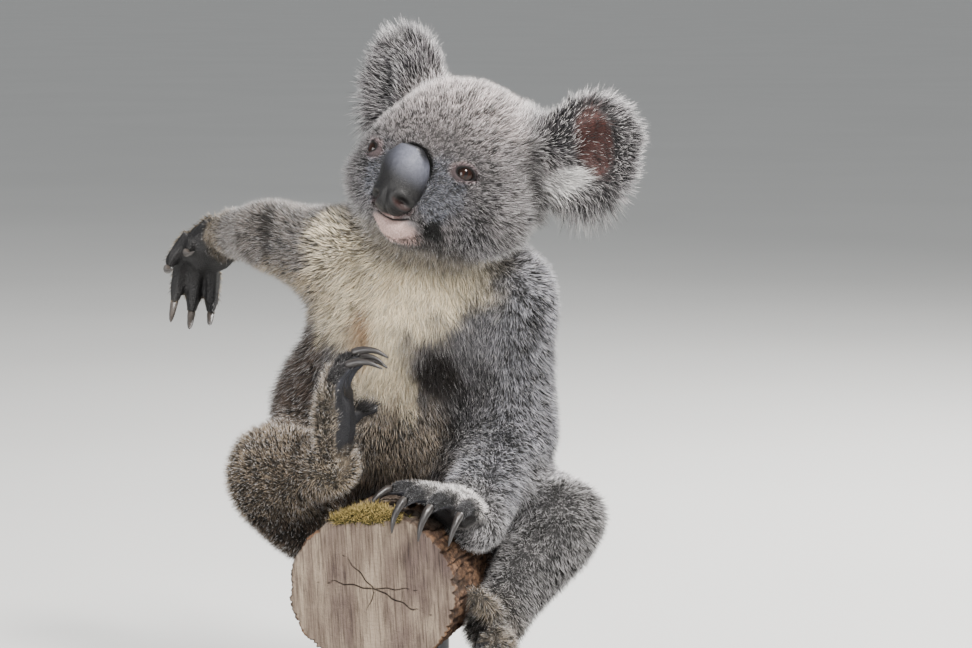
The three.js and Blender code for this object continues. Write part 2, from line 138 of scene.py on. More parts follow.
def nearest(points: Array, cloud: Array, reach: float = 0.055) -> Array:
    """How far each point is from the nearest point of a cloud.

    Args:
        points: rows of metres.
        cloud: the points to measure to.
        reach: the most that is told apart, in metres.

    Returns:
        One distance in metres for each point.
    """
    found = np.full(len(points), reach)
    middle = cloud.mean(0)
    inside = (points > cloud.min(0) - reach) & (points < cloud.max(0) + reach)
    near = np.flatnonzero(inside.all(1))
    small = (cloud - middle).astype(np.float32)
    squares = (small**2).sum(1)
    for start in range(0, len(near), 4096):
        rows = near[start : start + 4096]
        block = (points[rows] - middle).astype(np.float32)
        gaps = squares[None] - 2 * block @ small.T
        found[rows] = np.sqrt(np.maximum(gaps.min(1) + (block**2).sum(1), 0))
    return np.minimum(found, reach)


def to_path(points: Array, path: Path) -> tuple[Array, Array]:
    """Measures points against a path of straight stretches.

    Args:
        points: rows of three.
        path: its corners.

    Returns:
        Each point's distance, and how far along the path its nearest place is, 0 to 1.
    """
    corners = np.array(path, float)
    lengths = length_of(np.diff(corners, axis=0))
    gone = np.concatenate([[0], np.cumsum(lengths)]) / lengths.sum()
    best = np.full(len(points), np.inf)
    along = np.zeros(len(points))
    for i, (a, b) in enumerate(zip(corners[:-1], corners[1:])):
        share = np.clip((points - a) @ (b - a) / ((b - a) @ (b - a)), 0, 1)
        gap = length_of(points - a - share[:, None] * (b - a))
        closer = gap < best
        best[closer] = gap[closer]
        along[closer] = (gone[i] + share * (gone[i + 1] - gone[i]))[closer]
    return best, along


def new_object(name: str, points: Array, faces: Faces, smooth: bool = True) -> Thing:
    """A mesh object from arrays.

    Args:
        name: the object's name.
        points: one row of metres for each vertex.
        faces: rows of vertex numbers, counter-clockwise from outside.
        smooth: whether its faces are shaded smooth.

    Returns:
        The object, linked to the scene.
    """
    mesh = bpy.data.meshes.new(name)
    corners = [tuple(int(i) for i in face) for face in faces]
    mesh.from_pydata([tuple(p) for p in points], [], corners, not smooth)
    mesh.validate()
    return linked(name, mesh)


def linked(name: str, data: bpy.types.ID) -> Thing:
    """A new object of some data, linked to the scene.

    Args:
        name: the object's name.
        data: its mesh, camera or light.

    Returns:
        The object.
    """
    thing = bpy.data.objects.new(name, data)
    bpy.context.scene.collection.objects.link(thing)
    return thing


def finished(thing: Thing, name: str) -> Thing:
    """The object with its modifiers worked into a plain mesh.

    Args:
        thing: the object, which is removed.
        name: the new object's name.

    Returns:
        The new object.
    """
    bpy.context.view_layer.update()
    evaluated = thing.evaluated_get(bpy.context.evaluated_depsgraph_get())
    mesh = bpy.data.meshes.new_from_object(evaluated)
    mesh.name = name
    bpy.data.objects.remove(thing)
    return linked(name, mesh)


def read(items: bpy.types.bpy_prop_collection, key: str, width: int = 3, kind: type = float) -> Array:
    """One property of all of a mesh's points, edges, corners or faces.

    Args:
        items: the mesh's collection.
        key: the property's name.
        width: how many numbers each item has.
        kind: the type of those numbers.

    Returns:
        One row for each item.
    """
    values = np.empty(len(items) * width, kind)
    items.foreach_get(key, values)
    return values.reshape(-1, width)


def caster(points: Array, mesh: Mesh) -> BVHTree:
    """A tree that finds a mesh's faces, with its points at given places."""
    return BVHTree.FromPolygons(points.tolist(), [tuple(face.vertices) for face in mesh.polygons])


def store(mesh: Mesh, name: str, values: Array) -> None:
    """Stores a named attribute on a mesh's vertices.

    Args:
        mesh: the mesh.
        name: the attribute's name.
        values: a number, vector or colour for each vertex.
    """
    kinds = {1: ("FLOAT", "value"), 3: ("FLOAT_VECTOR", "vector"), 4: ("FLOAT_COLOR", "color")}
    rows = values.reshape(len(mesh.vertices), -1)
    kind, key = kinds[rows.shape[1]]
    layer = mesh.attributes.new(name, kind, "POINT")
    layer.data.foreach_set(key, rows.astype(np.float32).ravel())


def opaque(colours: Array) -> Array:
    """Rows of red, green and blue with a full alpha."""
    return np.hstack([colours, np.ones((len(colours), 1))])


def triangles(mesh: Mesh) -> int:
    """How many triangles a mesh has once it is split up."""
    return sum(len(face.vertices) - 2 for face in mesh.polygons)


# ---- Node trees ----


class Wiring:
    """Adds nodes to one tree, and feeds values or other nodes' outputs into their inputs."""

    def __init__(self, tree: bpy.types.NodeTree) -> None:
        """Keeps the tree to work on."""
        self.tree = tree

    def feed(self, socket: Socket, value: object) -> None:
        """Links a socket into an input, or sets the input's own value.

        Args:
            socket: the input.
            value: another node's output, or a plain value.
        """
        if isinstance(value, Socket):
            self.tree.links.new(value, socket)
        else:
            socket.default_value = value

    def add(self, kind: str, inputs: dict | None = None, **settings: object) -> bpy.types.Node:
        """Adds one node.

        Args:
            kind: the node's type.
            inputs: what to feed, by the input's name or number.
            settings: the node's own properties.

        Returns:
            The node.
        """
        node = self.tree.nodes.new(kind)
        for name, value in settings.items():
            setattr(node, name, value)
        for key, value in (inputs or {}).items():
            self.feed(node.inputs[key], value)
        return node

    def out(self, kind: str, inputs: dict | None = None, **settings: object) -> Socket:
        """Adds one node, and gives its first output."""
        return self.add(kind, inputs, **settings).outputs[0]

    def maths(self, operation: str, a: object, b: object = 0.0, clamp: bool = False) -> Socket:
        """One sum on two numbers."""
        return self.out("ShaderNodeMath", {0: a, 1: b}, operation=operation, use_clamp=clamp)

    def plus(self, a: object, b: object) -> Socket:
        """The sum of two numbers."""
        return self.maths("ADD", a, b)

    def times(self, a: object, b: object) -> Socket:
        """The product of two numbers."""
        return self.maths("MULTIPLY", a, b)

    def vector(self, operation: str, a: object, b: object) -> Socket:
        """One sum on two vectors, or on a vector and the number that scales it."""
        inputs = {0: a, "Scale": b} if operation == "SCALE" else {0: a, 1: b}
        return self.out("ShaderNodeVectorMath", inputs, operation=operation)


class Shading(Wiring):
    """A material with one Principled surface, whose plain values are set on the shader itself."""

    def __init__(self, name: str, **constants: float | Colour) -> None:
        """Starts a material.

        Args:
            name: its name.
            constants: plain values of the surface, by its sockets' names in small letters with underscores.
        """
        self.material = bpy.data.materials.new(name)
        self.material.use_nodes = True
        super().__init__(self.material.node_tree)
        self.surface = self.tree.nodes["Principled BSDF"]
        sockets = {socket.name.lower().replace(" ", "_"): socket for socket in self.surface.inputs}
        for key, value in constants.items():
            sockets[key].default_value = (*value, 1) if isinstance(value, tuple) else value

    def attribute(self, name: str, output: str = "Fac") -> Socket:
        """A stored attribute of the mesh."""
        return self.add("ShaderNodeAttribute", attribute_name=name).outputs[output]

    def coordinates(self, stretch: Colour = (1, 1, 1), turn: Colour = (0, 0, 0)) -> Socket:
        """The object's own coordinates.

        Args:
            stretch: how many times each axis is stretched.
            turn: how they are turned first, in radians.

        Returns:
            The coordinates.
        """
        texture = self.add("ShaderNodeTexCoord").outputs["Object"]
        turned = self.out("ShaderNodeMapping", {"Vector": texture, "Rotation": turn})
        return self.out("ShaderNodeMapping", {"Vector": turned, "Scale": stretch})

    def noise(self, scale: float, detail: float = 3, rough: float = 0.55, at: Socket | None = None) -> Socket:
        """Noise from 0 to 1 with so many waves in a metre."""
        inputs = {"Vector": at or self.coordinates(), "Scale": scale, "Detail": detail, "Roughness": rough}
        return self.out("ShaderNodeTexNoise", inputs)

    def cells(self, scale: float) -> Socket:
        """Distance within cells of which there are so many in a metre."""
        return self.out("ShaderNodeTexVoronoi", {"Vector": self.coordinates(), "Scale": scale})

    def mix(self, share: object, a: object, b: object, mode: str = "MIX") -> Socket:
        """Two colours mixed.

        Args:
            share: how much of the second.
            a: the first colour.
            b: the second.
            mode: how they mix.

        Returns:
            The colour.
        """
        node = self.add("ShaderNodeMix", data_type="RGBA", blend_type=mode)
        for key, value in ((0, share), (6, a), (7, b)):
            is_colour = key > 0 and not isinstance(value, Socket)
            self.feed(node.inputs[key], (*value, 1) if is_colour else value)
        return node.outputs[2]

    def graded(self, value: object, low: float, high: float, first: object, second: object) -> Socket:
        """The first colour turning into the second as a number goes from low to high."""
        return self.mix(self.between(value, low, high), first, second)

    def grey(self, tone: object) -> Socket:
        """A grey of the given tone."""
        return self.out("ShaderNodeCombineColor", {0: tone, 1: tone, 2: tone})

    def between(self, value: object, low: float, high: float, to: tuple = (0, 1)) -> Socket:
        """A number mapped from low and high to two others, and held there."""
        inputs = {0: value, 1: low, 2: high, 3: to[0], 4: to[1]}
        return self.out("ShaderNodeMapRange", inputs, interpolation_type="SMOOTHSTEP")

    def bump(self, height: object, depth: float, under: object = None) -> Socket:
        """A bump in the surface.

        Args:
            height: its height, 0 to 1.
            depth: what a height of 1 is in metres.
            under: another bump that it lies over.

        Returns:
            The bumped normal.
        """
        node = self.add("ShaderNodeBump", {"Height": height, "Distance": depth, "Strength": 1.0})
        if under is not None:
            self.feed(node.inputs["Normal"], under)
        return node.outputs[0]

    def finish(self, **sockets: object) -> Material:
        """Feeds the surface's inputs.

        Args:
            sockets: what to feed, by names as in the constants.

        Returns:
            The material.
        """
        for key, value in sockets.items():
            self.feed(self.surface.inputs[key.replace("_", " ").title()], value)
        return self.material


# ---- Finishes ----


class Finish:
    """A finish is made into a material once, when it is first asked for."""

    _made: dict[str, Material] = {}

    def build(self) -> Material:
        """Writes the material's nodes."""
        raise NotImplementedError

    def material(self) -> Material:
        """Builds the material the first time it is asked for.

        Returns:
            The finish's one material.
        """
        key = repr(self)
        if key not in Finish._made:
            Finish._made[key] = self.build()
        return Finish._made[key]


@dataclass(frozen=True)
class Fur(Finish):
    """Tufts that are dark at the root and carry the body's marking, some of them white-tipped."""

    name: str = "koala_fur"
    root_shade: float = 0.3
    darkest: float = 0.05
    lightest: float = 1.5
    frost: Colour = (0.84, 0.82, 0.81)

    def build(self) -> Material:
        """Mixes the marking with shade at the root, a tone for each tuft, and frosted tips.

        Returns:
            The material.
        """
        s = Shading(self.name, roughness=0.72, specular_ior_level=0.18, sheen_weight=0.1,
                    sheen_roughness=0.45)
        along = s.attribute("along")
        tuft = s.attribute("tuft")
        root = s.between(s.attribute("pepper"), 0.1, 1.0, (0.92, self.root_shade))
        lit = s.between(along, 0.0, 0.75)
        shade = s.out("ShaderNodeMix", {0: lit, 2: root, 3: 1.0})
        speck = s.between(tuft, 0.36, 0.62, (self.darkest, self.lightest))
        even = s.between(tuft, 0.0, 1.0, (0.8, 1.2))
        tone = s.out("ShaderNodeMix", {0: s.attribute("pepper"), 2: even, 3: speck})
        amount = s.times(shade, tone)
        colour = s.mix(1.0, s.attribute("marking", "Color"), s.grey(amount), "MULTIPLY")
        drawn = s.maths("FRACT", s.times(tuft, 37.31))
        chosen = s.maths("LESS_THAN", drawn, s.attribute("frost"))
        tip = s.times(chosen, s.between(along, 0.5, 0.9))
        return s.finish(base_color=s.mix(tip, colour, self.frost))


@dataclass(frozen=True)
class Skin(Finish):
    """The hide: under the coat it takes the coat's marking, and where it is bare it is leathery."""

    name: str = "koala_skin"
    pebble: float = 900.0

    def build(self) -> Material:
        """Bare skin has pebbled bumps, and the rest a short felt of fur.

        Returns:
            The material.
        """
        s = Shading(self.name, specular_ior_level=0.35)
        bare = s.attribute("bare")
        felt = s.noise(1400, 4, 0.7)
        marking = s.attribute("marking", "Color")
        hide = s.mix(s.between(felt, 0.3, 0.7), marking, (0.02, 0.018, 0.016), "MULTIPLY")
        shaded = s.between(s.attribute("pepper"), 0.0, 1.0, (0.85, 0.25))
        under = s.mix(1.0, s.mix(0.55, marking, hide), s.grey(shaded), "MULTIPLY")
        mottled = s.graded(s.noise(160, 5, 0.6), 0.3, 0.75, (0.8, 0.8, 0.8), (1.2, 1.17, 1.15))
        leather = s.mix(1.0, marking, mottled, "MULTIPLY")
        pebbles = s.cells(self.pebble)
        creases = s.noise(220, 5, 0.65)
        rough = s.bump(creases, 0.0006, s.bump(pebbles, 0.0005))
        fluff = s.bump(felt, 0.0012)
        normal = s.add("ShaderNodeMix", data_type="VECTOR")
        for key, value in ((0, bare), (4, fluff), (5, rough)):
            s.feed(normal.inputs[key], value)
        shine = s.between(bare, 0, 1, (0.95, 0.5))
        return s.finish(base_color=s.mix(bare, under, leather), roughness=shine, normal=normal.outputs[1])


@dataclass(frozen=True)
class NoseLeather(Finish):
    """The nose pad: dark and finely pebbled, paler at the top where its marking carries a painted sheen."""

    name: str = "nose_leather"

    def build(self) -> Material:
        """Reads the marking, and adds pebbles and fine creases.

        Returns:
            The material.
        """
        s = Shading(self.name, specular_ior_level=0.32, coat_weight=0.06, coat_roughness=0.35)
        pebbles = s.cells(1150)
        fine = s.noise(420, 6, 0.65)
        colour = s.graded(fine, 0.25, 0.8, (0.75, 0.75, 0.77), (1.25, 1.24, 1.24))
        normal = s.bump(fine, 0.0004, s.bump(pebbles, 0.0003))
        gloss = s.between(fine, 0.3, 0.7, (0.42, 0.58))
        marked = s.mix(1.0, s.attribute("marking", "Color"), colour, "MULTIPLY")
        return s.finish(base_color=marked, roughness=gloss, normal=normal)


@dataclass(frozen=True)
class Eyeball(Finish):
    """A wet eye: a red-brown iris with a dark rim and an upright slit of a pupil."""

    name: str = "koala_eye"
    iris: float = 6.3
    pupil: Colour = (0.006, 0.004, 0.004)
    inner: Colour = (0.016, 0.006, 0.0036)
    outer: Colour = (0.006, 0.003, 0.002)

    def build(self) -> Material:
        """Paints rings by the distance from the line of sight, in millimetres.

        Returns:
            The material.
        """
        s = Shading(self.name, roughness=0.05, specular_ior_level=0.25, coat_weight=0.08, coat_roughness=0.02)
        spot = s.add("ShaderNodeSeparateXYZ", {0: s.attribute("gaze", "Vector")})
        side, up = spot.outputs[0], spot.outputs[1]
        ring = s.maths("SQRT", s.plus(s.maths("POWER", side, 2.0), s.maths("POWER", up, 2.0)))
        fibres = s.noise(900, 4, 0.7)
        depth = s.plus(s.maths("DIVIDE", ring, self.iris), s.times(fibres, 0.25))
        iris = s.graded(depth, 0.45, 1.05, self.inner, self.outer)
        wide = s.maths("POWER", s.maths("DIVIDE", side, 1.35), 2.0)
        tall = s.maths("POWER", s.maths("DIVIDE", up, 3.1), 2.0)
        slit = s.plus(wide, tall)
        colour = s.graded(slit, 1.25, 0.8, iris, self.pupil)
        white = s.graded(ring, self.iris, self.iris + 0.8, colour, (0.05, 0.025, 0.02))
        return s.finish(base_color=white)


@dataclass(frozen=True)
class Horn(Finish):
    """Dark claws with a streaked ridge, paler where a highlight is painted along it."""

    name: str = "claw_horn"

    def build(self) -> Material:
        """Mixes two horn tones by the stored tone, with streaks along the claw.

        Returns:
            The material.
        """
        s = Shading(self.name, specular_ior_level=0.5, coat_weight=0.12, coat_roughness=0.3)
        streaks = s.noise(700, 4, 0.6)
        tone = s.plus(s.attribute("tone"), s.between(streaks, 0.2, 0.8, (-0.12, 0.12)))
        colour = s.graded(tone, 0.0, 1.0, (0.013, 0.011, 0.011), (0.10, 0.085, 0.075))
        return s.finish(base_color=colour, roughness=s.between(streaks, 0.2, 0.8, (0.34, 0.5)),
                        normal=s.bump(streaks, 0.00015))


@dataclass(frozen=True)
class LogWood(Finish):
    """Weathered sawn ends and flaking bark, by what is stored on the mesh."""

    name: str = "log_wood"

    def build(self) -> Material:
        """Saw marks, growth rings and cracks on the ends, and plates of bark round the side.

        Returns:
            The material.
        """
        s = Shading(self.name, specular_ior_level=0.2)
        bark, crack, ring = s.attribute("bark"), s.attribute("crack"), s.attribute("ring")
        saw = s.noise(1.0, 5, 0.65, s.coordinates((760, 760, 34), (0, 0.06, 0)))
        wide_streak = s.noise(1.0, 5, 0.6, s.coordinates((85, 85, 12), (0, 0.1, 0)))
        rings = s.maths("SINE", s.times(s.plus(ring, s.times(s.noise(45, 3), 0.004)), 2100.0))
        pale = s.graded(wide_streak, 0.32, 0.68, (0.14, 0.105, 0.082), (0.29, 0.23, 0.172))
        streaked = s.mix(s.between(saw, 0.42, 0.68, (0, 0.8)), pale, (0.05, 0.035, 0.028))
        ringed = s.mix(s.between(rings, 0.2, 1.0, (0, 0.14)), streaked, (0.11, 0.075, 0.06))
        stain = s.between(s.noise(1.0, 4, 0.55, s.coordinates((26, 26, 15))), 0.42, 0.68, (0, 0.75))
        stained = s.mix(stain, ringed, s.graded(saw, 0.4, 0.62, (0.070, 0.046, 0.045), (0.03, 0.02, 0.02)))
        # painted shade: the cracks in the sawn ends are drawn near black
        end = s.mix(s.times(crack, 0.9), stained, (0.012, 0.009, 0.008))
        plates = s.attribute("plate")
        flakes = s.noise(240, 6, 0.72)
        warm = s.graded(s.noise(90, 5, 0.7), 0.38, 0.62, (0.05, 0.027, 0.017), (0.19, 0.108, 0.062))
        dull = s.graded(s.noise(46, 5, 0.65), 0.35, 0.65, (0.075, 0.055, 0.042), (0.20, 0.165, 0.135))
        side = s.mix(s.attribute("rust"), dull, warm)
        side = s.mix(s.between(flakes, 0.42, 0.66, (0, 0.75)), side, (0.035, 0.02, 0.014))
        side = s.mix(s.between(flakes, 0.36, 0.24, (0, 0.6)), side, (0.27, 0.19, 0.13))
        side = s.mix(s.between(plates, 0.0, -0.9, (0, 0.85)), side, (0.03, 0.02, 0.015))
        green = s.graded(s.noise(300, 4), 0.35, 0.65, (0.02, 0.02, 0.006), (0.07, 0.062, 0.018))
        mossy = s.mix(s.attribute("moss"), s.mix(bark, end, side), green)
        fine = s.noise(900, 5, 0.7)
        height = s.plus(s.times(saw, 0.7), s.times(fine, 0.5))
        return s.finish(base_color=mossy, roughness=s.between(fine, 0.2, 0.8, (0.75, 0.95)),
                        normal=s.bump(height, 0.0007, s.bump(flakes, 0.0022)))


@dataclass(frozen=True)
class Moss(Finish):
    """Yellow-green moss, brighter at its tips."""

    name: str = "log_moss"

    def build(self) -> Material:
        """Grades from dark roots to bright tips, each sprig with its own tone.

        Returns:
            The material.
        """
        s = Shading(self.name, roughness=0.85, specular_ior_level=0.15)
        tips = s.mix(s.attribute("tuft"), (0.09, 0.07, 0.018), (0.42, 0.31, 0.12))
        return s.finish(base_color=s.graded(s.attribute("along"), 0.0, 0.8, (0.03, 0.035, 0.008), tips))


@dataclass(frozen=True)
class Paint(Finish):
    """The stand's satin paint, with a faint orange peel."""

    name: str = "stand_charcoal"
    colour: Colour = (0.045, 0.048, 0.052)

    def build(self) -> Material:
        """Varies tone and gloss a little.

        Returns:
            The material.
        """
        s = Shading(self.name, specular_ior_level=0.45)
        cloud = s.noise(14, 4)
        peel = s.noise(900, 2)
        lighter = tuple(c * 1.35 for c in self.colour)
        return s.finish(base_color=s.graded(cloud, 0.3, 0.7, self.colour, lighter),
                        roughness=s.between(cloud, 0.3, 0.7, (0.42, 0.52)), normal=s.bump(peel, 0.00006))


@dataclass(frozen=True)
class Backdrop(Finish):
    """The plain pale floor."""

    name: str = "studio_floor"
    colour: Colour = (0.60, 0.60, 0.585)

    def build(self) -> Material:
        """One pale, dull tone, with the faintest cloudiness.

        Returns:
            The material.
        """
        s = Shading(self.name, roughness=0.9, specular_ior_level=0.1)
        darker = tuple(c * 0.97 for c in self.colour)
        return s.finish(base_color=s.graded(s.noise(1.3, 2), 0.3, 0.7, self.colour, darker))


class Slot(Enum):
    """The record's material slots."""

    GREY_FUR = "grey_fur"
    PALE_FUR = "pale_fur"
    BROWN_FUR = "brown_fur"
    NOSE = "nose_skin"
    EYE = "eyeball"
    HORN = "horn"
    WOOD = "wood"
    PAINT = "stand_paint"


def place(piece: Thing, finish: Finish, slot: Slot, *nodes: str) -> None:
    """Gives a piece its finish, lets it ride on the body, and reports it.

    Args:
        piece: the finished piece.
        finish: what it is made of.
        slot: the record's slot that it takes; not used.
        nodes: the nodes that it stands for.
    """
    piece.data.materials.clear()
    piece.data.materials.append(finish.material())
    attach(piece, BODY)
    if nodes:
        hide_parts(*nodes)
    REPORT.info("%s: %d triangles", piece.name, triangles(piece.data))


# ---- The body's anatomy, read from the solids ----


class Node:
    """One solid of the frame: its points, its middle, and points spread evenly over its surface."""

    _known: dict[str, "Node"] = {}
    SPREAD = 1 / (5.5 * MM) ** 2

    def __init__(self, name: str) -> None:
        """Merges the solid's loose triangles, and draws points over them from a fixed seed.

        Args:
            name: the node's name.
        """
        self.name = name
        shape = bmesh.new()
        shape.from_mesh(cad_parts[name].data)
        bmesh.ops.remove_doubles(shape, verts=shape.verts, dist=0.01 * MM)
        shape.normal_update()
        shape.verts.ensure_lookup_table()
        self.points = np.array([v.co for v in shape.verts])
        self.normals = np.array([v.normal for v in shape.verts])
        self.faces = [[v.index for v in face.verts] for face in shape.faces]
        shape.free()
        corners = self.points[np.array(self.faces)]
        areas = length_of(np.cross(corners[:, 1] - corners[:, 0], corners[:, 2] - corners[:, 0])) / 2
        self.middle = (corners.mean(1) * areas[:, None]).sum(0) / areas.sum()
        draw = np.random.default_rng(11)
        count = max(60, int(areas.sum() * self.SPREAD))
        picked = draw.choice(len(areas), count, p=areas / areas.sum())
        u, v = draw.random((2, count, 1))
        over = u + v > 1
        u, v = np.where(over, 1 - u, u), np.where(over, 1 - v, v)
        a, b, c = corners[picked].transpose(1, 0, 2)
        self.cloud = a + u * (b - a) + v * (c - a)

    def grown(self, out: float) -> Array:
        """Its points moved out a little, so that neighbours overlap."""
        return self.points + self.normals * out

    @classmethod
    def of(cls, name: str) -> "Node":
        """Reads a node once.

        Args:
            name: the node's name.

        Returns:
            The node.
        """
        if name not in cls._known:
            cls._known[name] = cls(name)
        return cls._known[name]


@dataclass
class HeadAxes:
    """The head's own axes in millimetres: x to the animal's left, y to the back, z up.

    They are found from where the eyes and the nose pad lie in the frame.
    """

    eye_ahead: float = 47.8
    eye_up: float = 3.3
    nose_ahead: float = 68.4
    nose_up: float = -12.6
    origin: Array = field(init=False)
    axes: Array = field(init=False)

    def __post_init__(self) -> None:
        """Turns the line from eyes to nose by its known slope in the head."""
        left, right, nose = (Node.of(n).middle for n in ("left_eye", "right_eye", "nose"))
        side = unit(left - right)
        down_line = nose - (left + right) / 2
        down_line = unit(down_line - side * (down_line @ side))
        slope = math.atan2(self.eye_up - self.nose_up, self.nose_ahead - self.eye_ahead)
        upright = np.cross(down_line, side)
        ahead = down_line * math.cos(slope) + upright * math.sin(slope)
        up = np.cross(side, -ahead)
        self.axes = np.stack([side, -ahead, up])
        self.origin = (left + right) / 2 - ahead * self.eye_ahead * MM - up * self.eye_up * MM

    def local(self, points: Array) -> Array:
        """World metres as the head's millimetres."""
        return (points - self.origin) @ self.axes.T / MM

    def world(self, places: Array) -> Array:
        """The head's millimetres as world metres."""
        return np.asarray(places, float) * MM @ self.axes + self.origin

    def turned(self, directions: Array) -> Array:
        """Directions in the head's axes as world directions."""
        return np.asarray(directions, float) @ self.axes


@dataclass(frozen=True)
class Flesh:
    """One node of flesh: its colour, its coat's depth and hair, and the nodes between which the coat lies."""

    node: str
    colour: str
    depth: float
    hair: float
    lies_from: str
    lies_to: str


FLESH = (
    Flesh("head", "brow", 2.6, 8.5, "nose", "neck"),
    Flesh("left_ear", "ear_back", 6, 13, "head", "left_ear"),
    Flesh("right_ear", "ear_back", 6, 13, "head", "right_ear"),
    Flesh("neck", "nape", 8, 14, "head", "chest"),
    Flesh("chest", "back", 8, 15, "neck", "belly"),
    Flesh("belly", "back", 7, 13, "chest", "rump"),
    Flesh("rump", "flank", 7, 12.5, "belly", "rump"),
    Flesh("left_upper_arm", "arm", 6, 9, "neck", "left_forearm"),
    Flesh("left_forearm", "arm", 5.2, 8.5, "left_upper_arm", "left_hand"),
    Flesh("left_hand", "wrist", 2.2, 6, "left_forearm", "left_hand_claw_3"),
    # the right arm takes a darker, browner copy of the arm colour, partly painted shade on the far side
    Flesh("right_upper_arm", "far_arm", 6, 9, "neck", "right_forearm"),
    Flesh("right_forearm", "far_arm", 5, 8, "right_upper_arm", "right_hand"),
    Flesh("right_hand", "underarm", 1.2, 5, "right_forearm", "right_hand_claw_3"),
    Flesh("left_thigh", "thigh", 6, 9, "rump", "left_shin"),
    Flesh("left_shin", "thigh", 5.2, 8.5, "left_thigh", "left_foot"),
    Flesh("left_foot", "foot", 2.6, 9, "left_shin", "left_foot_claw_4"),
    Flesh("right_thigh", "far_thigh", 6, 9, "rump", "right_shin"),
    Flesh("right_shin", "far_thigh", 5.2, 8.5, "right_thigh", "right_foot"),
    Flesh("right_foot", "foot", 2.6, 9, "right_shin", "right_foot_claw_4"),
)
PAWS = ("left_hand", "right_hand", "left_foot", "right_foot")


@dataclass(frozen=True)
class Paw:
    """Which way a paw's bare pads face, and how broadly."""

    node: str
    pads_face: Colour
    reach: float = 0.25


PAW_FACES = (
    Paw("left_hand", (-22, -16, -80), 0.3),
    Paw("right_hand", (-6, -60, -22), -0.35),
    Paw("left_foot", (-60, 0, -12), 0.3),
    Paw("right_foot", (60, -16, -6), 0.3),
)


class Sculpt:
    """A mesh object's points as an array, with what is needed to smooth and push them."""

    def __init__(self, thing: Thing) -> None:
        """Reads points and edges.

        Args:
            thing: the mesh object.
        """
        self.thing = thing
        self.mesh = thing.data
        self.points = read(self.mesh.vertices, "co")
        self.edges = read(self.mesh.edges, "vertices", 2, int)
        self.degree = np.maximum(np.bincount(self.edges.ravel(), minlength=len(self.points)), 1)

    def around(self, values: Array) -> Array:
        """The mean of each vertex's neighbours.

        Args:
            values: a number or a row for each vertex.

        Returns:
            The means, in the same shape.
        """
        rows = values.reshape(len(self.points), -1)
        a, b = self.edges.T
        count = len(rows)
        sums = [np.bincount(a, row[b], count) + np.bincount(b, row[a], count) for row in rows.T]
        return (np.stack(sums, 1) / self.degree[:, None]).reshape(values.shape)

    def spread(self, values: Array, rounds: int) -> Array:
        """Evens values out over the surface.

        Args:
            values: a number or a row for each vertex.
            rounds: how many times.

        Returns:
            The evened values.
        """
        for _ in range(rounds):
            values = 0.5 * values + 0.5 * self.around(values)
        return values

    def smooth(self, rounds: int, share: Array | float = 1.0) -> None:
        """Smooths the shape with next to no shrinking.

        Args:
            rounds: how many times.
            share: how fully, for all or for each vertex.
        """
        share = np.broadcast_to(share, (len(self.points),))[:, None]
        for _ in range(rounds):
            for pull in (0.5, -0.52):
                self.points = self.points + (self.around(self.points) - self.points) * pull * share

    def round_off(self, rounds: int, share: Array | float = 1.0) -> None:
        """Rounds off flat faces and rims, and gives back what that shrinks the shape by.

        Args:
            rounds: how many times.
            share: how fully, for all or for each vertex.
        """
        share = np.broadcast_to(share, (len(self.points),))[:, None]
        start = self.points
        for _ in range(rounds):
            self.points = self.points + (self.around(self.points) - self.points) * 0.55 * share
        self.points = self.points + self.spread(start - self.points, round(rounds * 1.4))

    def write(self) -> None:
        """Puts the points back into the mesh."""
        self.mesh.vertices.foreach_set("co", self.points.ravel())
        self.mesh.update()

    def normals(self) -> Array:
        """The surface's direction at each vertex."""
        self.write()
        return read(self.mesh.vertex_normals, "vector")

    def push(self, directions: Array, out: Array) -> None:
        """Moves each point along its direction by its own number of millimetres."""
        self.points = self.points + directions * (out * MM)[:, None]


def remeshed(parts: Sequence[tuple[Array, Faces]], voxel: float, name: str) -> Thing:
    """One closed mesh round overlapping closed parts, with inner bubbles left out.

    Args:
        parts: points and faces of each part.
        voxel: the size of the mesh's squares, in metres.
        name: the new object's name.

    Returns:
        The object.
    """
    points = np.concatenate([p for p, _ in parts])
    faces = []
    base = 0
    for corners, sides in parts:
        faces += [[i + base for i in side] for side in sides]
        base += len(corners)
    rough = new_object("rough", points, faces)
    skin = rough.modifiers.new("voxels", "REMESH")
    skin.mode = "VOXEL"
    skin.voxel_size = voxel
    skin.adaptivity = 0
    done = finished(rough, name)
    keep_largest(done.data)
    return done


def keep_largest(mesh: Mesh) -> None:
    """Deletes all but the largest connected body.

    Args:
        mesh: the mesh.
    """
    a, b = read(mesh.edges, "vertices", 2, int).T
    label = np.full(len(mesh.vertices), -1)
    lower = np.arange(len(label))
    while (lower != label).any():
        label = lower.copy()
        np.minimum.at(lower, a, label[b])
        np.minimum.at(lower, b, label[a])
        lower = lower[lower]
    largest = np.bincount(label).argmax()
    if (label != largest).any():
        shape = bmesh.new()
        shape.from_mesh(mesh)
        loose = [vertex for vertex in shape.verts if label[vertex.index] != largest]
        bmesh.ops.delete(shape, geom=loose, context="VERTS")
        shape.to_mesh(mesh)
        shape.free()


def split_finer(mesh: Mesh, chosen: Array, cuts: int) -> None:
    """Splits the edges of some faces.

    Args:
        mesh: the mesh.
        chosen: whether each face is one of them.
        cuts: how many times an edge is cut.
    """
    shape = bmesh.new()
    shape.from_mesh(mesh)
    shape.faces.ensure_lookup_table()
    edges = {edge for index in np.flatnonzero(chosen) for edge in shape.faces[index].edges}
    bmesh.ops.subdivide_edges(shape, edges=list(edges), cuts=cuts, use_grid_fill=True)
    shape.to_mesh(mesh)
    shape.free()


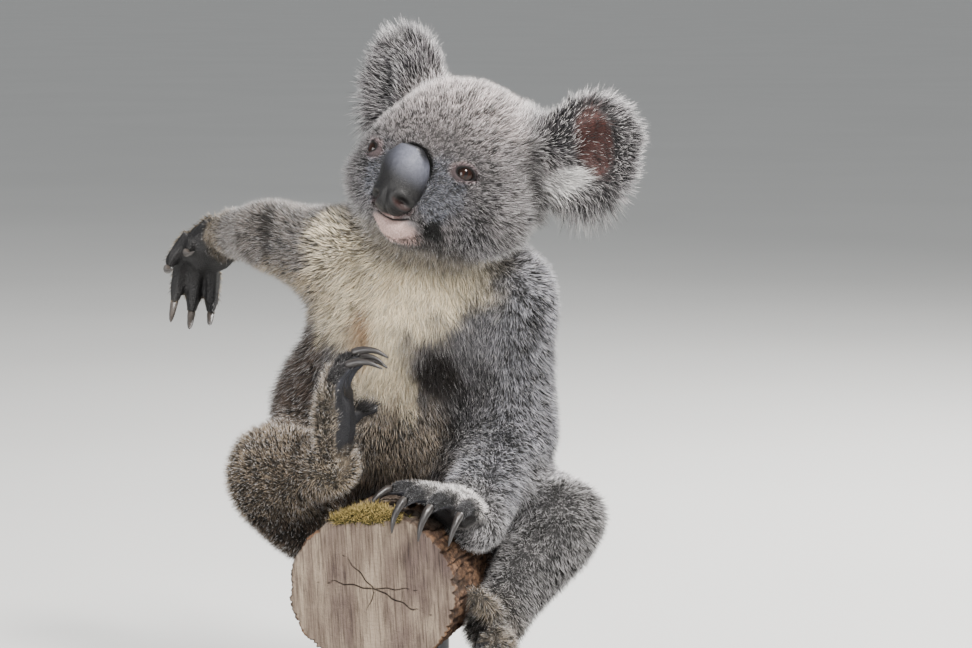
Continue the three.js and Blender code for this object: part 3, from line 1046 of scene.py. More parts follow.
@dataclass(frozen=True)
class Palette:
    """The body's colours."""

    # painted light: the crown is paler, as if lit from above
    crown: Colour = linear(180, 170, 168)
    brow: Colour = linear(150, 144, 145)
    # cheek and jaw: the lower face darker as painted shade, over the cheek's own grey
    cheek: Colour = linear(106, 104, 109)
    jaw: Colour = linear(66, 60, 58)
    # the muzzle's pale blue-grey is partly painted sheen
    muzzle: Colour = linear(124, 127, 138)
    chin: Colour = linear(232, 200, 192)
    lid: Colour = linear(170, 146, 150)
    # red-brown lip under the nose pad, darkened as painted shade
    lip_and_shade: Colour = linear(84, 46, 42)
    line: Colour = linear(10, 9, 9)
    nape: Colour = linear(132, 128, 128)
    back: Colour = linear(108, 104, 104)
    bib: Colour = linear(255, 240, 210)
    gland: Colour = linear(156, 118, 80)
    # painted shade for the armpits, the creases between limbs and trunk, and the gap between cheek and ear
    pit: Colour = linear(26, 19, 16)
    belly: Colour = linear(190, 174, 154)
    flank: Colour = linear(76, 62, 52)
    arm: Colour = linear(156, 156, 162)
    # a darker, browner copy of the arm colour, partly painted shade on the far side
    far_arm: Colour = linear(132, 124, 118)
    underarm: Colour = linear(186, 168, 140)
    wrist: Colour = linear(222, 218, 216)
    thigh: Colour = linear(160, 158, 158)
    far_thigh: Colour = linear(132, 118, 101)
    haunch: Colour = linear(64, 53, 45)
    foot: Colour = linear(150, 138, 122)
    pads: Colour = linear(22, 22, 26)
    palm: Colour = linear(16, 15, 16)
    ear_back: Colour = linear(120, 116, 118)
    ear_edge: Colour = linear(172, 170, 172)
    ear_inner: Colour = linear(60, 32, 28)
    ear_dark: Colour = linear(44, 42, 48)
    digits: Colour = linear(40, 42, 50)
    ear_tuft: Colour = linear(246, 244, 242)


@dataclass
class Eye:
    """One eye's place and the shape of the opening between its lids, in millimetres."""

    name: str
    side: int
    ball: float = 7.9
    azimuth: float = 40.0
    elevation: float = 3.0
    half_width: float = 5.7
    half_height: float = 4.3
    lid: float = 1.3
    lid_edge: float = 0.3

    def axes(self, head: HeadAxes) -> tuple[Array, Array]:
        """Where the eye is and how it looks.

        Args:
            head: the head's axes.

        Returns:
            Its middle, and its axes: outwards to the side, up, and out along the line of sight.
        """
        azimuth, elevation = math.radians(self.azimuth), math.radians(self.elevation)
        flat = math.cos(elevation)
        gaze = (self.side * math.sin(azimuth) * flat, -math.cos(azimuth) * flat, math.sin(elevation))
        gaze = unit(head.turned(gaze))
        outwards = unit(np.cross(head.axes[2], gaze)) * self.side
        up = np.cross(gaze, outwards * self.side)
        tilt = math.radians(-9)
        outward_turned = outwards * math.cos(tilt) + up * math.sin(tilt)
        up_turned = up * math.cos(tilt) - outwards * math.sin(tilt)
        return Node.of(self.name).middle, np.stack([outward_turned, up_turned, gaze])

    def spot(self, head: HeadAxes, points: Array) -> Array:
        """Points in the eye's own axes, in millimetres."""
        middle, axes = self.axes(head)
        return (points - middle) @ axes.T / MM

    def opening(self, spot: Array) -> Array:
        """How far out a place is, where 1 is the edge of the lids.

        Args:
            spot: places in the eye's own axes.

        Returns:
            One number for each place.
        """
        side = spot[:, 0] / self.half_width
        height = self.half_height * np.where(spot[:, 1] > 0, 1.0, 0.86)
        corner = 1 + 0.10 * np.abs(side)
        return np.sqrt(side**2 / corner + (spot[:, 1] / height) ** 2)


@dataclass
class Body:
    """The one skin that lies under the coat, and what each place on it is like."""

    head: HeadAxes
    eyes: tuple[Eye, Eye]
    nose: BVHTree
    voxel: float = 3.6
    grow: float = 0.4
    paw_voxel: float = 1.5
    paw_depth: float = 0.7
    thinnest: float = 0.3
    tuck: float = 3.2
    mouth: Path = ((0, -80, -44), (7, -76, -43), (15, -70, -41.5), (22, -66, -41), (26, -58, -45))
    chin: Path = ((0, -70, -53), (17, 16, 9))

    def shape(self) -> None:
        """Joins the flesh under one skin, draws it in by the coat's depth, and sculpts the face."""
        names = [flesh.node for flesh in FLESH if flesh.node not in PAWS] + ["left_eye", "right_eye"]
        parts = [(Node.of(name).grown(self.grow * MM), Node.of(name).faces) for name in names]
        self.thing = remeshed(parts, self.voxel * MM, "koala_skin")
        self.sculpt = Sculpt(self.thing)
        self.weigh_nodes()
        self.even_out()
        self.draw_in()
        self.sculpt.write()
        for name in PAWS:
            self.join_paw(name)
        self.split_details()
        self.sculpt = Sculpt(self.thing)
        self.weigh_nodes()
        on_paws = self.weight(*PAWS)
        self.sculpt.smooth(5, self.weight("head"))
        self.sculpt.smooth(14, 4 * on_paws * (1 - on_paws))
        self.mark_places()
        self.sculpt_eyes()
        self.sculpt_face()
        self.sculpt.write()
        self.thing.data.shade_smooth()

    def join_paw(self, name: str) -> None:
        """Joins one paw, made finer than the rest for its fingers, onto the skin.

        Args:
            name: the paw's node.
        """
        node = Node.of(name)
        paw = remeshed([(node.points, node.faces)], self.paw_voxel * MM, name + "_skin")
        shape = Sculpt(paw)
        shape.smooth(9)
        depth = self.paw_depth * MM
        shape.points = shape.points - unit(shape.spread(shape.normals(), 2)) * depth
        shape.smooth(3)
        shape.write()
        union = self.thing.modifiers.new("paw", "BOOLEAN")
        union.operation = "UNION"
        union.solver = "MANIFOLD"
        union.object = paw
        self.thing = finished(self.thing, "koala_skin")
        bpy.data.objects.remove(paw)

    def split_details(self) -> None:
        """Makes the mesh finer round the eyes and mouth."""
        mesh = self.thing.data
        middles = read(mesh.polygons, "center")
        local = self.head.local(middles)
        fine = (np.abs(local[:, 0]) < 33) & (local[:, 1] < -40) & (local[:, 2] < 24) & (local[:, 2] > -62)
        fine &= local[:, 1] < -0.9 * np.abs(local[:, 0]) - 20
        for eye in self.eyes:
            middle, axes = eye.axes(self.head)
            fine |= (length_of(middles - middle) < 19 * MM) & ((middles - middle) @ axes[2] > -9 * MM)
        split_finer(mesh, fine, 3)

    def weigh_nodes(self) -> None:
        """Works out how much each vertex belongs to each node of flesh."""
        points = self.sculpt.points
        self.gaps = np.stack([nearest(points, Node.of(flesh.node).cloud) for flesh in FLESH], 1)
        near = self.gaps.min(1, keepdims=True)
        weights = bell(self.gaps, near, 9 * MM)
        self.weights = self.sculpt.spread(weights / weights.sum(1, keepdims=True), 6)
        self.home = self.weights.argmax(1)

    def weight(self, *names: str) -> Array:
        """How much each vertex belongs to the named nodes together."""
        chosen = [i for i, flesh in enumerate(FLESH) if flesh.node in names]
        return self.weights[:, chosen].sum(1)

    def even_out(self) -> None:
        """Rounds the body off, and draws the ears in from their fringe."""
        sculpt = self.sculpt
        sculpt.round_off(44, 1 - 0.35 * self.weight("left_ear", "right_ear"))
        for name in ("left_ear", "right_ear"):
            middle = Node.of(name).middle
            sculpt.points = sculpt.points + (middle - sculpt.points) * 0.1 * self.weight(name)[:, None]

    def thickness(self, normals: Array) -> Array:
        """How thick the body is behind each vertex.

        Args:
            normals: the surface's directions.

        Returns:
            Metres for each vertex.
        """
        tree = caster(self.sculpt.points, self.thing.data)
        far = 0.2
        starts = self.sculpt.points - normals * 0.3 * MM
        found = [tree.ray_cast(Vector(p), Vector(-n), far)[3] for p, n in zip(starts.tolist(), normals)]
        return np.array([far if gap is None else gap for gap in found])

    def draw_in(self) -> None:
        """Moves the skin in by the coat's depth, which is least at the face and paws and where it is thin."""
        sculpt = self.sculpt
        depth = self.weights @ np.array([flesh.depth for flesh in FLESH])
        local = self.head.local(sculpt.points)
        nose_gap = nearest(sculpt.points, Node.of("nose").cloud) / MM
        on_head = self.weight("head")
        depth = depth + (0.6 - depth) * on_head * ease(nose_gap, 24, 3)
        muzzle = on_head * ease(local[:, 1], -42, -58)
        depth = depth + (1.8 - depth) * muzzle * ease(nose_gap, 2, 8)
        for eye in self.eyes:
            gap = length_of(sculpt.points - eye.axes(self.head)[0]) / MM
            depth = towards(depth, 1.4, ease(gap, 27, 13))
        normals = unit(sculpt.spread(sculpt.normals(), 2))
        depth = np.minimum(depth, self.thinnest * self.thickness(normals) / MM)
        for i, flesh in enumerate(FLESH):
            if flesh.node in PAWS:
                gap = self.gaps[:, i] / MM
                ahead = (normals * unit(Node.of(flesh.node).middle - sculpt.points)).sum(1)
                depth = towards(depth, 1.0, ease(gap, 24, 5))
                depth = np.where((gap < 4) & (ahead > 0.5), -4.5, depth)
        depth = sculpt.spread(depth + self.grow, 3)
        steps = 4
        for _ in range(steps):
            sculpt.push(-sculpt.spread(sculpt.normals(), 3), depth / steps)
            sculpt.smooth(1, 0.6)

    def mark_places(self) -> None:
        """Keeps the head's own coordinates and the gaps to its features for the methods that follow."""
        self.tuck_under_nose()
        self.local = self.head.local(self.sculpt.points)
        self.mouth_gap, self.mouth_along = self.gap_to(self.mouth)
        self.nose_gap = self.gap_to_nose()
        self.eye_spots = [eye.spot(self.head, self.sculpt.points) for eye in self.eyes]

    def gap_to(self, path: Path) -> tuple[Array, Array]:
        """Measures the skin against a path of the head and its mirror image.

        Args:
            path: corners in the head's millimetres, which are drawn onto the skin.

        Returns:
            Each vertex's distance in millimetres, and its place along, 0 to 1.
        """
        near = self.local[self.local[:, 1] < 0]
        gaps, alongs = [], []
        for side in (1, -1):
            corners = np.array(path, float) * [side, 1, 1]
            snapped = [near[np.argmin(length_of(near - corner))] for corner in corners]
            gap, along = to_path(self.local, snapped)
            gaps.append(gap)
            alongs.append(along)
        first = gaps[0] < gaps[1]
        return np.where(first, gaps[0], gaps[1]), np.where(first, alongs[0], alongs[1])

    def gap_to_nose(self) -> Array:
        """Measures the skin against the nose pad.

        Returns:
            Each vertex's distance in millimetres, up to 20.
        """
        gap = np.full(len(self.local), 20.0)
        ahead = (self.local[:, 1] < -35) & (np.abs(self.local[:, 0]) < 45)
        for i in np.flatnonzero(ahead & (self.weight("head") > 0.2)):
            gap[i] = min(gap[i], self.nose.find_nearest(Vector(self.local[i]))[3])
        return gap

    def tuck_under_nose(self) -> None:
        """Presses the skin in behind the nose pad, so that only the pad shows there."""
        local = self.head.local(self.sculpt.points)
        ahead = (local[:, 1] < -45) & (np.abs(local[:, 0]) < 26)
        near = np.flatnonzero(ahead & (np.abs(local[:, 2] + 12) < 34))
        for i in near:
            hit = self.nose.ray_cast(Vector((local[i, 0], -200, local[i, 2])), Vector((0, 1, 0)))[0]
            if hit is not None:
                local[i, 1] = max(local[i, 1], hit[1] + self.tuck)
        self.sculpt.points[near] = self.head.world(local[near])

    def sculpt_eyes(self) -> None:
        """Opens the lids round each eyeball, and lets them hug it."""
        for eye, spot in zip(self.eyes, self.eye_spots):
            radius = np.hypot(spot[:, 0], spot[:, 1])
            near = (radius < 19) & (spot[:, 2] > -9) & (self.weight("head") > 0.3)
            out = eye.opening(spot)
            lid = eye.ball + eye.lid_edge + (eye.lid - eye.lid_edge) * ease(out, 1.0, 1.5)
            shell = np.sqrt(np.maximum(lid**2 - radius**2, 0))
            inside = np.sqrt(np.maximum((eye.ball * 0.8) ** 2 - radius**2, 0)) - 1.0
            flat = spot[:, 2]
            edge = ease(out, 0.95, 1.02)
            lid = shell * edge + inside * (1 - edge)
            crease = 0.8 * bell(out, 1.8, 0.16)
            hold = ease(radius, eye.ball * 1.85, eye.ball * 0.95)
            hugged = np.maximum(flat * (1 - hold) + shell * hold, flat * (1 - hold))
            height = np.where(out < 1.03, lid, hugged - crease)
            _, axes = eye.axes(self.head)
            self.sculpt.push(axes[2], np.where(near, (height - flat) * ease(radius, 18, 14), 0.0))

    def sculpt_face(self) -> None:
        """Presses in the mouth and the fold round the nose pad, and fills the lips beside them."""
        normals = self.sculpt.normals()
        on_head = self.weight("head") > 0.3
        groove = 2.2 * bell(self.mouth_gap, 0, 1.1) * ease(self.mouth_along, 1.0, 0.85)
        lips = 0.8 * bell(self.mouth_gap, 4.2, 2.4)
        fold = 0.9 * bell(self.nose_gap, 2.0, 1.3) * ease(self.local[:, 2], -20, -4)
        chin = length_of((self.local - self.chin[0]) / self.chin[1])
        swell = 1.5 * bell(self.nose_gap, 1.5, 1.5) * ease(self.local[:, 2], -4, -20)
        out = lips + swell - groove - fold + 2.2 * ease(chin, 1.0, 0.3)
        self.sculpt.push(normals, np.where(on_head, out, 0.0))


@dataclass
class EarFrame:
    """An ear's own axes: away from the head, up its flat, and the way its cup faces."""

    name: str
    head: HeadAxes

    def __post_init__(self) -> None:
        """Finds the ear's flat from its points, and turns it to face the front of the head."""
        node = Node.of(self.name)
        self.middle = node.middle
        spread = node.cloud - node.cloud.mean(0)
        facing = np.linalg.svd(spread, full_matrices=False)[2][2]
        self.facing = facing * np.sign(facing @ -self.head.axes[1])
        away = self.middle - Node.of("head").middle
        self.away = unit(away - self.facing * (away @ self.facing))
        self.up = np.cross(self.facing, self.away) * (1 if self.name == "left_ear" else -1)
        self.radius = np.percentile(length_of(spread), 92)

    def flat(self, points: Array) -> Array:
        """Points as shares of the ear's radius: away from the head, up, and out of its flat."""
        return (points - self.middle) @ np.stack([self.away, self.up, self.facing]).T / self.radius


@dataclass(frozen=True)
class Patch:
    """A soft-edged patch of a colour on some nodes, by its middle and radii in millimetres."""

    colour: str
    middle: Colour
    radii: Colour
    nodes: tuple[str, ...]
    strength: float
    frost: float
    in_head: bool = False


TRUNK = ("neck", "chest", "belly", "rump")
LEFT_ARM = ("left_upper_arm", "left_forearm")
RIGHT_ARM = ("right_upper_arm", "right_forearm")
LEFT_LEG = ("left_thigh", "left_shin")
RIGHT_LEG = ("right_thigh", "right_shin")

BODY_PATCHES = (
    Patch("flank", (-92, 40, 320), (34, 90, 70), TRUNK, 0.85, 0.12),
    Patch("flank", (-60, 60, 230), (70, 80, 40), TRUNK + RIGHT_LEG, 0.6, 0.12),
    Patch("haunch", (-95, 30, 205), (42, 70, 40), RIGHT_LEG, 0.85, 0.08),
    Patch("belly", (-8, -60, 260), (60, 60, 75), ("belly", "rump", "chest"), 0.9, 0.3),
    Patch("bib", (2, -60, 416), (84, 90, 56), ("neck", "chest"), 1.0, 0.2),
    Patch("bib", (-52, -40, 412), (29, 70, 64), ("neck", "chest", "right_upper_arm"), 1.0, 0.2),
    Patch("bib", (-26, -60, 345), (38, 60, 50), ("chest", "belly"), 0.95, 0.2),
    Patch("bib", (4, -60, 308), (10, 60, 26), ("chest", "belly"), 0.7, 0.4),
    Patch("gland", (-35, -60, 358), (15, 60, 34), ("chest", "belly"), 0.5, 0.1),
    Patch("gland", (-31, -60, 364), (5, 60, 22), ("chest", "belly"), 0.6, 0.1),
    # painted shade in the armpits and where the arms meet the trunk
    Patch("pit", (24, -60, 333), (19, 60, 24), TRUNK + LEFT_ARM, 1.0, 0.02),
    Patch("pit", (38, -60, 312), (20, 50, 24), ("chest", "belly", "left_upper_arm"), 0.8, 0.1),
    Patch("pit", (62, -30, 290), (26, 50, 60), TRUNK, 0.7, 0.1),
    Patch("pit", (-110, 30, 438), (8, 60, 30), ("right_upper_arm", "right_forearm"), 0.75, 0.05),
    Patch("underarm", (-90, 60, 388), (60, 90, 24), RIGHT_ARM, 0.8, 0.2),
    Patch("ear_dark", (2, 40, 552), (26, 60, 20), ("right_ear",), 0.65, 0.3),
    Patch("ear_tuft", (-14, 40, 600), (15, 60, 14), ("right_ear",), 0.75, 0.7),
    Patch("ear_tuft", (-38, 40, 566), (9, 60, 8), ("right_ear",), 0.6, 0.7),
    # painted shade in the crease between the left arm and the belly
    Patch("pit", (36, -60, 268), (12, 60, 50), ("belly", "rump", "chest"), 0.75, 0.1),
    Patch("wrist", (10, -100, 236), (46, 50, 28), ("left_hand", "left_forearm"), 0.9, 0.7),
    Patch("digits", (-24, -100, 309), (14, 60, 16), ("right_foot",), 0.9, 0.0),
    Patch("underarm", (-40, -120, 250), (30, 20, 26), ("right_shin", "right_foot"), 0.4, 0.4),
)


def on_head(colour: str, middle: Colour, radii: Colour, strength: float, frost: float,
            pair: bool = False) -> list[Patch]:
    """A patch in the head's own axes and millimetres, or one on each side."""
    middles = [middle, (-middle[0], *middle[1:])] if pair else [middle]
    return [Patch(colour, spot, radii, ("head",), strength, frost, True) for spot in middles]


HEAD_PATCHES = (
    *on_head("nape", (0, 60, 0), (90, 60, 90), 1.0, 0.35),
    # painted light: the top of the head paler, as lit from above
    *on_head("crown", (0, 0, 60), (80, 80, 52), 1.0, 0.14),
    *on_head("brow", (0, -50, 28), (60, 40, 20), 0.5, 0.2),
    # the lower sides of the face darker grey, partly painted shade
    *on_head("cheek", (62, -10, -34), (34, 60, 40), 0.8, 0.45, True),
    *on_head("nape", (57, -36, -14), (5, 16, 26), 0.6, 0.15, True),
    *on_head("brow", (68, -22, -20), (7, 30, 40), 0.75, 0.5, True),
    # painted shade at the sides of the jaw and under the chin
    *on_head("jaw", (86, 0, -10), (9, 40, 44), 0.75, 0.2, True),
    *on_head("jaw", (0, -26, -64), (60, 50, 17), 0.9, 0.12),
    # the muzzle's fur, its paleness and blue partly painted sheen
    *on_head("muzzle", (30, -62, -14), (20, 26, 26), 0.9, 0.3, True),
    *on_head("chin", (0, -68, -54), (24, 26, 13), 1.0, 0.4),
    *on_head("line", (28, -55, -50), (8, 15, 12), 1.0, 0.0, True),
    # painted shade: a dark band between the cheek and the near ear, and where that ear meets the head
    Patch("pit", (97, -20, 482), (11, 60, 40), ("head", "left_ear"), 0.95, 0.05),
    Patch("ear_dark", (116, -20, 520), (19, 60, 22), ("left_ear", "head"), 0.85, 0.3),
)


@dataclass
class Coat:
    """What the coat is like at every vertex of the skin, stored on its mesh."""

    body: Body
    palette: Palette
    rough_edge: float = 0.3
    gain: float = -0.1
    shortest: float = 1.5

    def comb(self) -> None:
        """Works out which way the coat lies, how long it is, and how far it stands off."""
        body = self.body
        points = body.sculpt.points
        normals = body.sculpt.normals()
        lie = np.zeros_like(points)
        nose = Node.of("nose").middle
        self.ears = [EarFrame("left_ear", body.head), EarFrame("right_ear", body.head)]
        self.ear_zones = []
        roots = {ear.name: ear.middle - ear.away * ear.radius * 0.6 - ear.facing * 0.01 for ear in self.ears}
        for i, flesh in enumerate(FLESH):
            if flesh.node == "head":
                heading = unit(points - nose) + [0, 0, -0.15]
            elif flesh.node in roots:
                heading = unit(points - roots[flesh.node])
            else:
                run = unit(Node.of(flesh.lies_to).middle - Node.of(flesh.lies_from).middle)
                heading = run[None] + [0, 0, -0.3]
            lie += heading * body.weights[:, i : i + 1]
        swirl = np.stack([noise(points, 0.022, 5 + k) for k in range(3)], 1)
        tousle = np.stack([noise(points, 0.0075, 15 + k) for k in range(3)], 1)
        lie = lie + swirl * 0.3
        for _ in range(2):
            lie = lie - normals * (lie * normals).sum(1, keepdims=True)
            lie = body.sculpt.spread(unit(lie), 4)
        lie = lie + tousle * 0.42
        self.lie = unit(lie - normals * (lie * normals).sum(1, keepdims=True))
        self.normals = normals
        self.hair = body.weights @ np.array([flesh.hair for flesh in FLESH])
        self.hair = self.hair * (1 + 0.16 * noise(points, 0.014, 21))
        limbs = body.weight(*LEFT_ARM, *RIGHT_ARM, *LEFT_LEG, *RIGHT_LEG)
        self.lift = 1.1 + 0.7 * limbs + 0.4 * noise(points, 0.009, 22) - 0.4 * body.weight("neck", "chest")

    def trim(self) -> None:
        """Shortens the coat on the face, lengthens it on the ears, and clears what is bare."""
        body = self.body
        local = body.local
        on_head = body.weight("head")
        self.cover = np.ones(len(local))
        muzzle = ease(local[:, 1], -30, -62) * on_head
        self.hair += (3.6 - self.hair) * muzzle
        self.lift = self.lift + 0.9 * on_head - 1.3 * muzzle
        self.hair = self.hair - 1.8 * on_head * ease(local[:, 2], 4, 26) * ease(local[:, 1], -10, -40)
        for spot, eye in zip(body.eye_spots, body.eyes):
            far = length_of(spot)
            self.hair += (3.2 - self.hair) * ease(far, 26, 12)
            out = eye.opening(spot)
            rim = 1.3 + 0.55 * ease(spot[:, 0], 3.0, -5.0) * ease(spot[:, 1], 3.0, -1.0)
            self.cover *= np.where(far < 16, ease(out, rim, rim + 0.35), 1.0)
        cheeks = on_head * ease(np.abs(local[:, 0]), 46, 66) * ease(local[:, 2], 20, -20)
        self.hair += 5 * cheeks
        low = ease(local[:, 2], -4, -20)
        self.cover *= ease(body.nose_gap, 0.9 - 0.9 * low, 2.4 - 1.5 * low)
        self.cover *= np.where(on_head > 0.4, ease(body.mouth_gap, 0.8, 1.8), 1)
        self.lips = on_head * ease(length_of((local - [0, -70, -48]) / [24, 20, 13]), 1.15, 0.75)
        self.cover *= 1 - 0.6 * self.lips
        self.hair *= 1 - 0.45 * self.lips
        self.clear_paws()
        for ear in self.ears:
            self.dress_ear(ear)
        self.cover *= 1 - self.bare

    def clear_paws(self) -> None:
        """Bares the pads of the paws, and shortens the coat on the digits."""
        body = self.body
        self.bare = np.zeros(len(body.local))
        broad = unit(body.sculpt.spread(self.normals, 10))
        for paw in PAW_FACES:
            facing = broad @ unit(np.array(paw.pads_face))
            edge = facing + 0.12 * noise(body.sculpt.points, 0.005, 31)
            self.bare = np.maximum(self.bare, body.weight(paw.node) * ease(edge, paw.reach, paw.reach + 0.22))
        self.bare = body.sculpt.spread(ease(self.bare, 0.35, 0.65), 3)
        self.digits = np.zeros(len(body.local))
        for paw in ("left_hand", "right_foot"):
            claws = [Node.of(name).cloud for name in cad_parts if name.startswith(f"{paw}_claw")]
            gap = nearest(body.sculpt.points, np.concatenate(claws)) / MM
            self.digits = np.maximum(self.digits, ease(gap, 24, 13) * body.weight(paw))
        self.hair *= 1 - 0.55 * self.digits

    def dress_ear(self, ear: EarFrame) -> None:
        """Gives an ear its fringe, its long inner tufts, and its bare hollow.

        Args:
            ear: the ear's axes.
        """
        body = self.body
        on_ear = body.weight(ear.name)
        flat = ear.flat(body.sculpt.points)
        radius = np.hypot(flat[:, 0], flat[:, 1])
        front = ease(self.normals @ ear.facing, -0.35, 0.3)
        rim = ease(radius, 0.66, 0.95)
        low = ease(flat[:, 1], -0.1, -0.7)
        hang = on_ear * ease(flat[:, 1], -0.35, -0.8) * ease(flat[:, 0], 0.6, -0.1)
        self.hair = self.hair + on_ear * (rim * 12 + low * 4) + hang * 13
        self.lie = unit(self.lie + hang[:, None] * (np.array([0, 0, -2.2]) - ear.away * 0.5))
        self.lift += on_ear * rim * 0.3
        near = 1.0 if ear.name == "left_ear" else 0.0
        hollow = np.hypot((flat[:, 0] - 0.1) / 0.34, (flat[:, 1] - 0.12) / 0.6)
        hollow = near * on_ear * front * ease(hollow, 1.1, 0.8)
        self.bare = np.maximum(self.bare, hollow * 0.8)
        inner = np.hypot((flat[:, 0] + 0.5) / 0.4, (flat[:, 1] + 0.36) / 0.21)
        inner = near * on_ear * ease(self.normals @ ear.facing, -0.1, 0.4) * ease(inner, 1.2, 0.8)
        self.hair = self.hair - hollow * 3 - inner * 2
        self.lie = unit(self.lie + inner[:, None] * (ear.away + ear.up * 0.3 + ear.facing * 0.4) * 1.5)
        self.ear_zones.append((on_ear, rim, hollow, inner))

    def paint(self) -> None:
        """Lays the colours of the body and its patches over each other."""
        body, palette = self.body, self.palette
        points = body.sculpt.points / MM
        colour = np.zeros((len(points), 3))
        for i, flesh in enumerate(FLESH):
            colour += getattr(palette, flesh.colour) * body.weights[:, i : i + 1]
        self.frost = np.full(len(points), 0.22)
        smooth_fur = length_of((points - [0, -60, 385]) / [92, 90, 92])
        self.pepper = 1 - 0.95 * body.weight("neck", "chest", "belly") * ease(smooth_fur, 1.15, 0.8)
        self.pepper *= 1 - 0.9 * self.lips
        ragged = self.rough_edge * (0.6 * noise(points, 13, 41) + 0.4 * noise(points, 5, 42))
        for patch in BODY_PATCHES + HEAD_PATCHES:
            places = body.local if patch.in_head else points
            far = length_of((places - patch.middle) / patch.radii) + ragged
            share = patch.strength * ease(far, 1.2, 0.75) * np.minimum(body.weight(*patch.nodes) * 1.4, 1)
            colour = blend(colour, getattr(palette, patch.colour), share)
            self.frost = self.frost * (1 - share) + patch.frost * share
        for on_ear, rim, hollow, inner in self.ear_zones:
            colour = blend(colour, palette.ear_edge, on_ear * rim * 0.6)
            colour = blend(colour, palette.ear_inner, np.minimum(hollow * 1.3, 1))
            colour = blend(colour, palette.ear_tuft, inner)
            self.pepper *= 1 - 0.85 * inner
            self.frost += on_ear * (0.15 + rim * 0.15)
        for paw in PAW_FACES:
            tone = palette.palm if paw.node.endswith("hand") else palette.pads
            colour = blend(colour, tone, self.bare * np.minimum(body.weight(paw.node) * 2, 1))
        colour = blend(colour, palette.digits, self.digits * 0.9)
        self.frost *= 1 - 0.8 * self.digits
        colour = self.line_face(colour)
        stretched = points * [1, 1, 2.2]
        rippled = 0.36 * noise(stretched, 15, 51) + 0.42 * noise(stretched, 6, 52)
        rippled = rippled * (1 + 0.5 * body.weight(*LEFT_ARM))
        smooth_parts = 0.65 * body.weight("head") + 0.6 * (1 - self.pepper)
        mottle = 1 + rippled * (1 - 0.75 * self.bare) * np.maximum(1 - smooth_parts, 0)
        gain = 1 + self.gain * (1 - self.bare)
        colour = colour * (mottle * gain)[:, None]
        self.marking = np.clip(colour / np.maximum(colour.max(1, keepdims=True) / 0.93, 1), 0, 1)

    def line_face(self, colour: Array) -> Array:
        """Draws the dark lines of the mouth, the nose pad's edge and the lids.

        Args:
            colour: the coat's colours so far.

        Returns:
            The colours with the lines on them.
        """
        body, palette = self.body, self.palette
        on_head = body.weight("head") > 0.4
        height = body.local[:, 2]
        colour = blend(colour, palette.line, on_head * ease(body.mouth_gap, 1.3, 0.5))
        upper = ease(height, -14, 2)
        colour = blend(colour, palette.line, on_head * ease(body.nose_gap, 2.9, 1.9) * upper)
        # just under the nose pad: the lip's red-brown, darkened as painted shade under the pad
        lip_and_shade = on_head * ease(body.nose_gap, 3.2, 1.8) * ease(height, -26, -36) * 0.7
        colour = blend(colour, palette.lip_and_shade, lip_and_shade)
        for spot, eye in zip(body.eye_spots, body.eyes):
            near = length_of(spot) < 20
            out = eye.opening(spot)
            pink = near * ease(out, 2.5, 1.6) * ease(spot[:, 0], 4.0, -5.0)
            colour = blend(colour, palette.chin, 0.45 * pink)
            colour = blend(colour, palette.lid, near * ease(out, 2.1, 1.5) * 0.7)
            upper = ease(spot[:, 1], -1.0, 3.5)
            colour = blend(colour, palette.line, near * ease(out, 1.42 + 0.22 * upper, 1.2 + 0.1 * upper))
            crease, _ = to_path(spot, ((6.5, 0.5, 5), (10, -1.5, 3), (15, -5.5, -1)))
            colour = blend(colour, palette.line, near * ease(crease, 2.7, 1.0) * 0.85)
        return colour

    def keep(self) -> None:
        """Stores everything on the skin's mesh."""
        mesh = self.body.thing.data
        self.body.sculpt.write()
        store(mesh, "marking", opaque(self.marking))
        for name in ("frost", "bare", "pepper", "cover", "lie"):
            store(mesh, name, getattr(self, name))
        store(mesh, "hair", np.maximum(self.hair, self.shortest) * MM)
        broad = unit(self.body.sculpt.spread(self.normals, 7))
        broader = unit(self.body.sculpt.spread(self.normals, 34))
        rise = blend(broad, broader, self.body.weight(*PAWS))
        store(mesh, "rise", unit(rise) * self.lift[:, None])


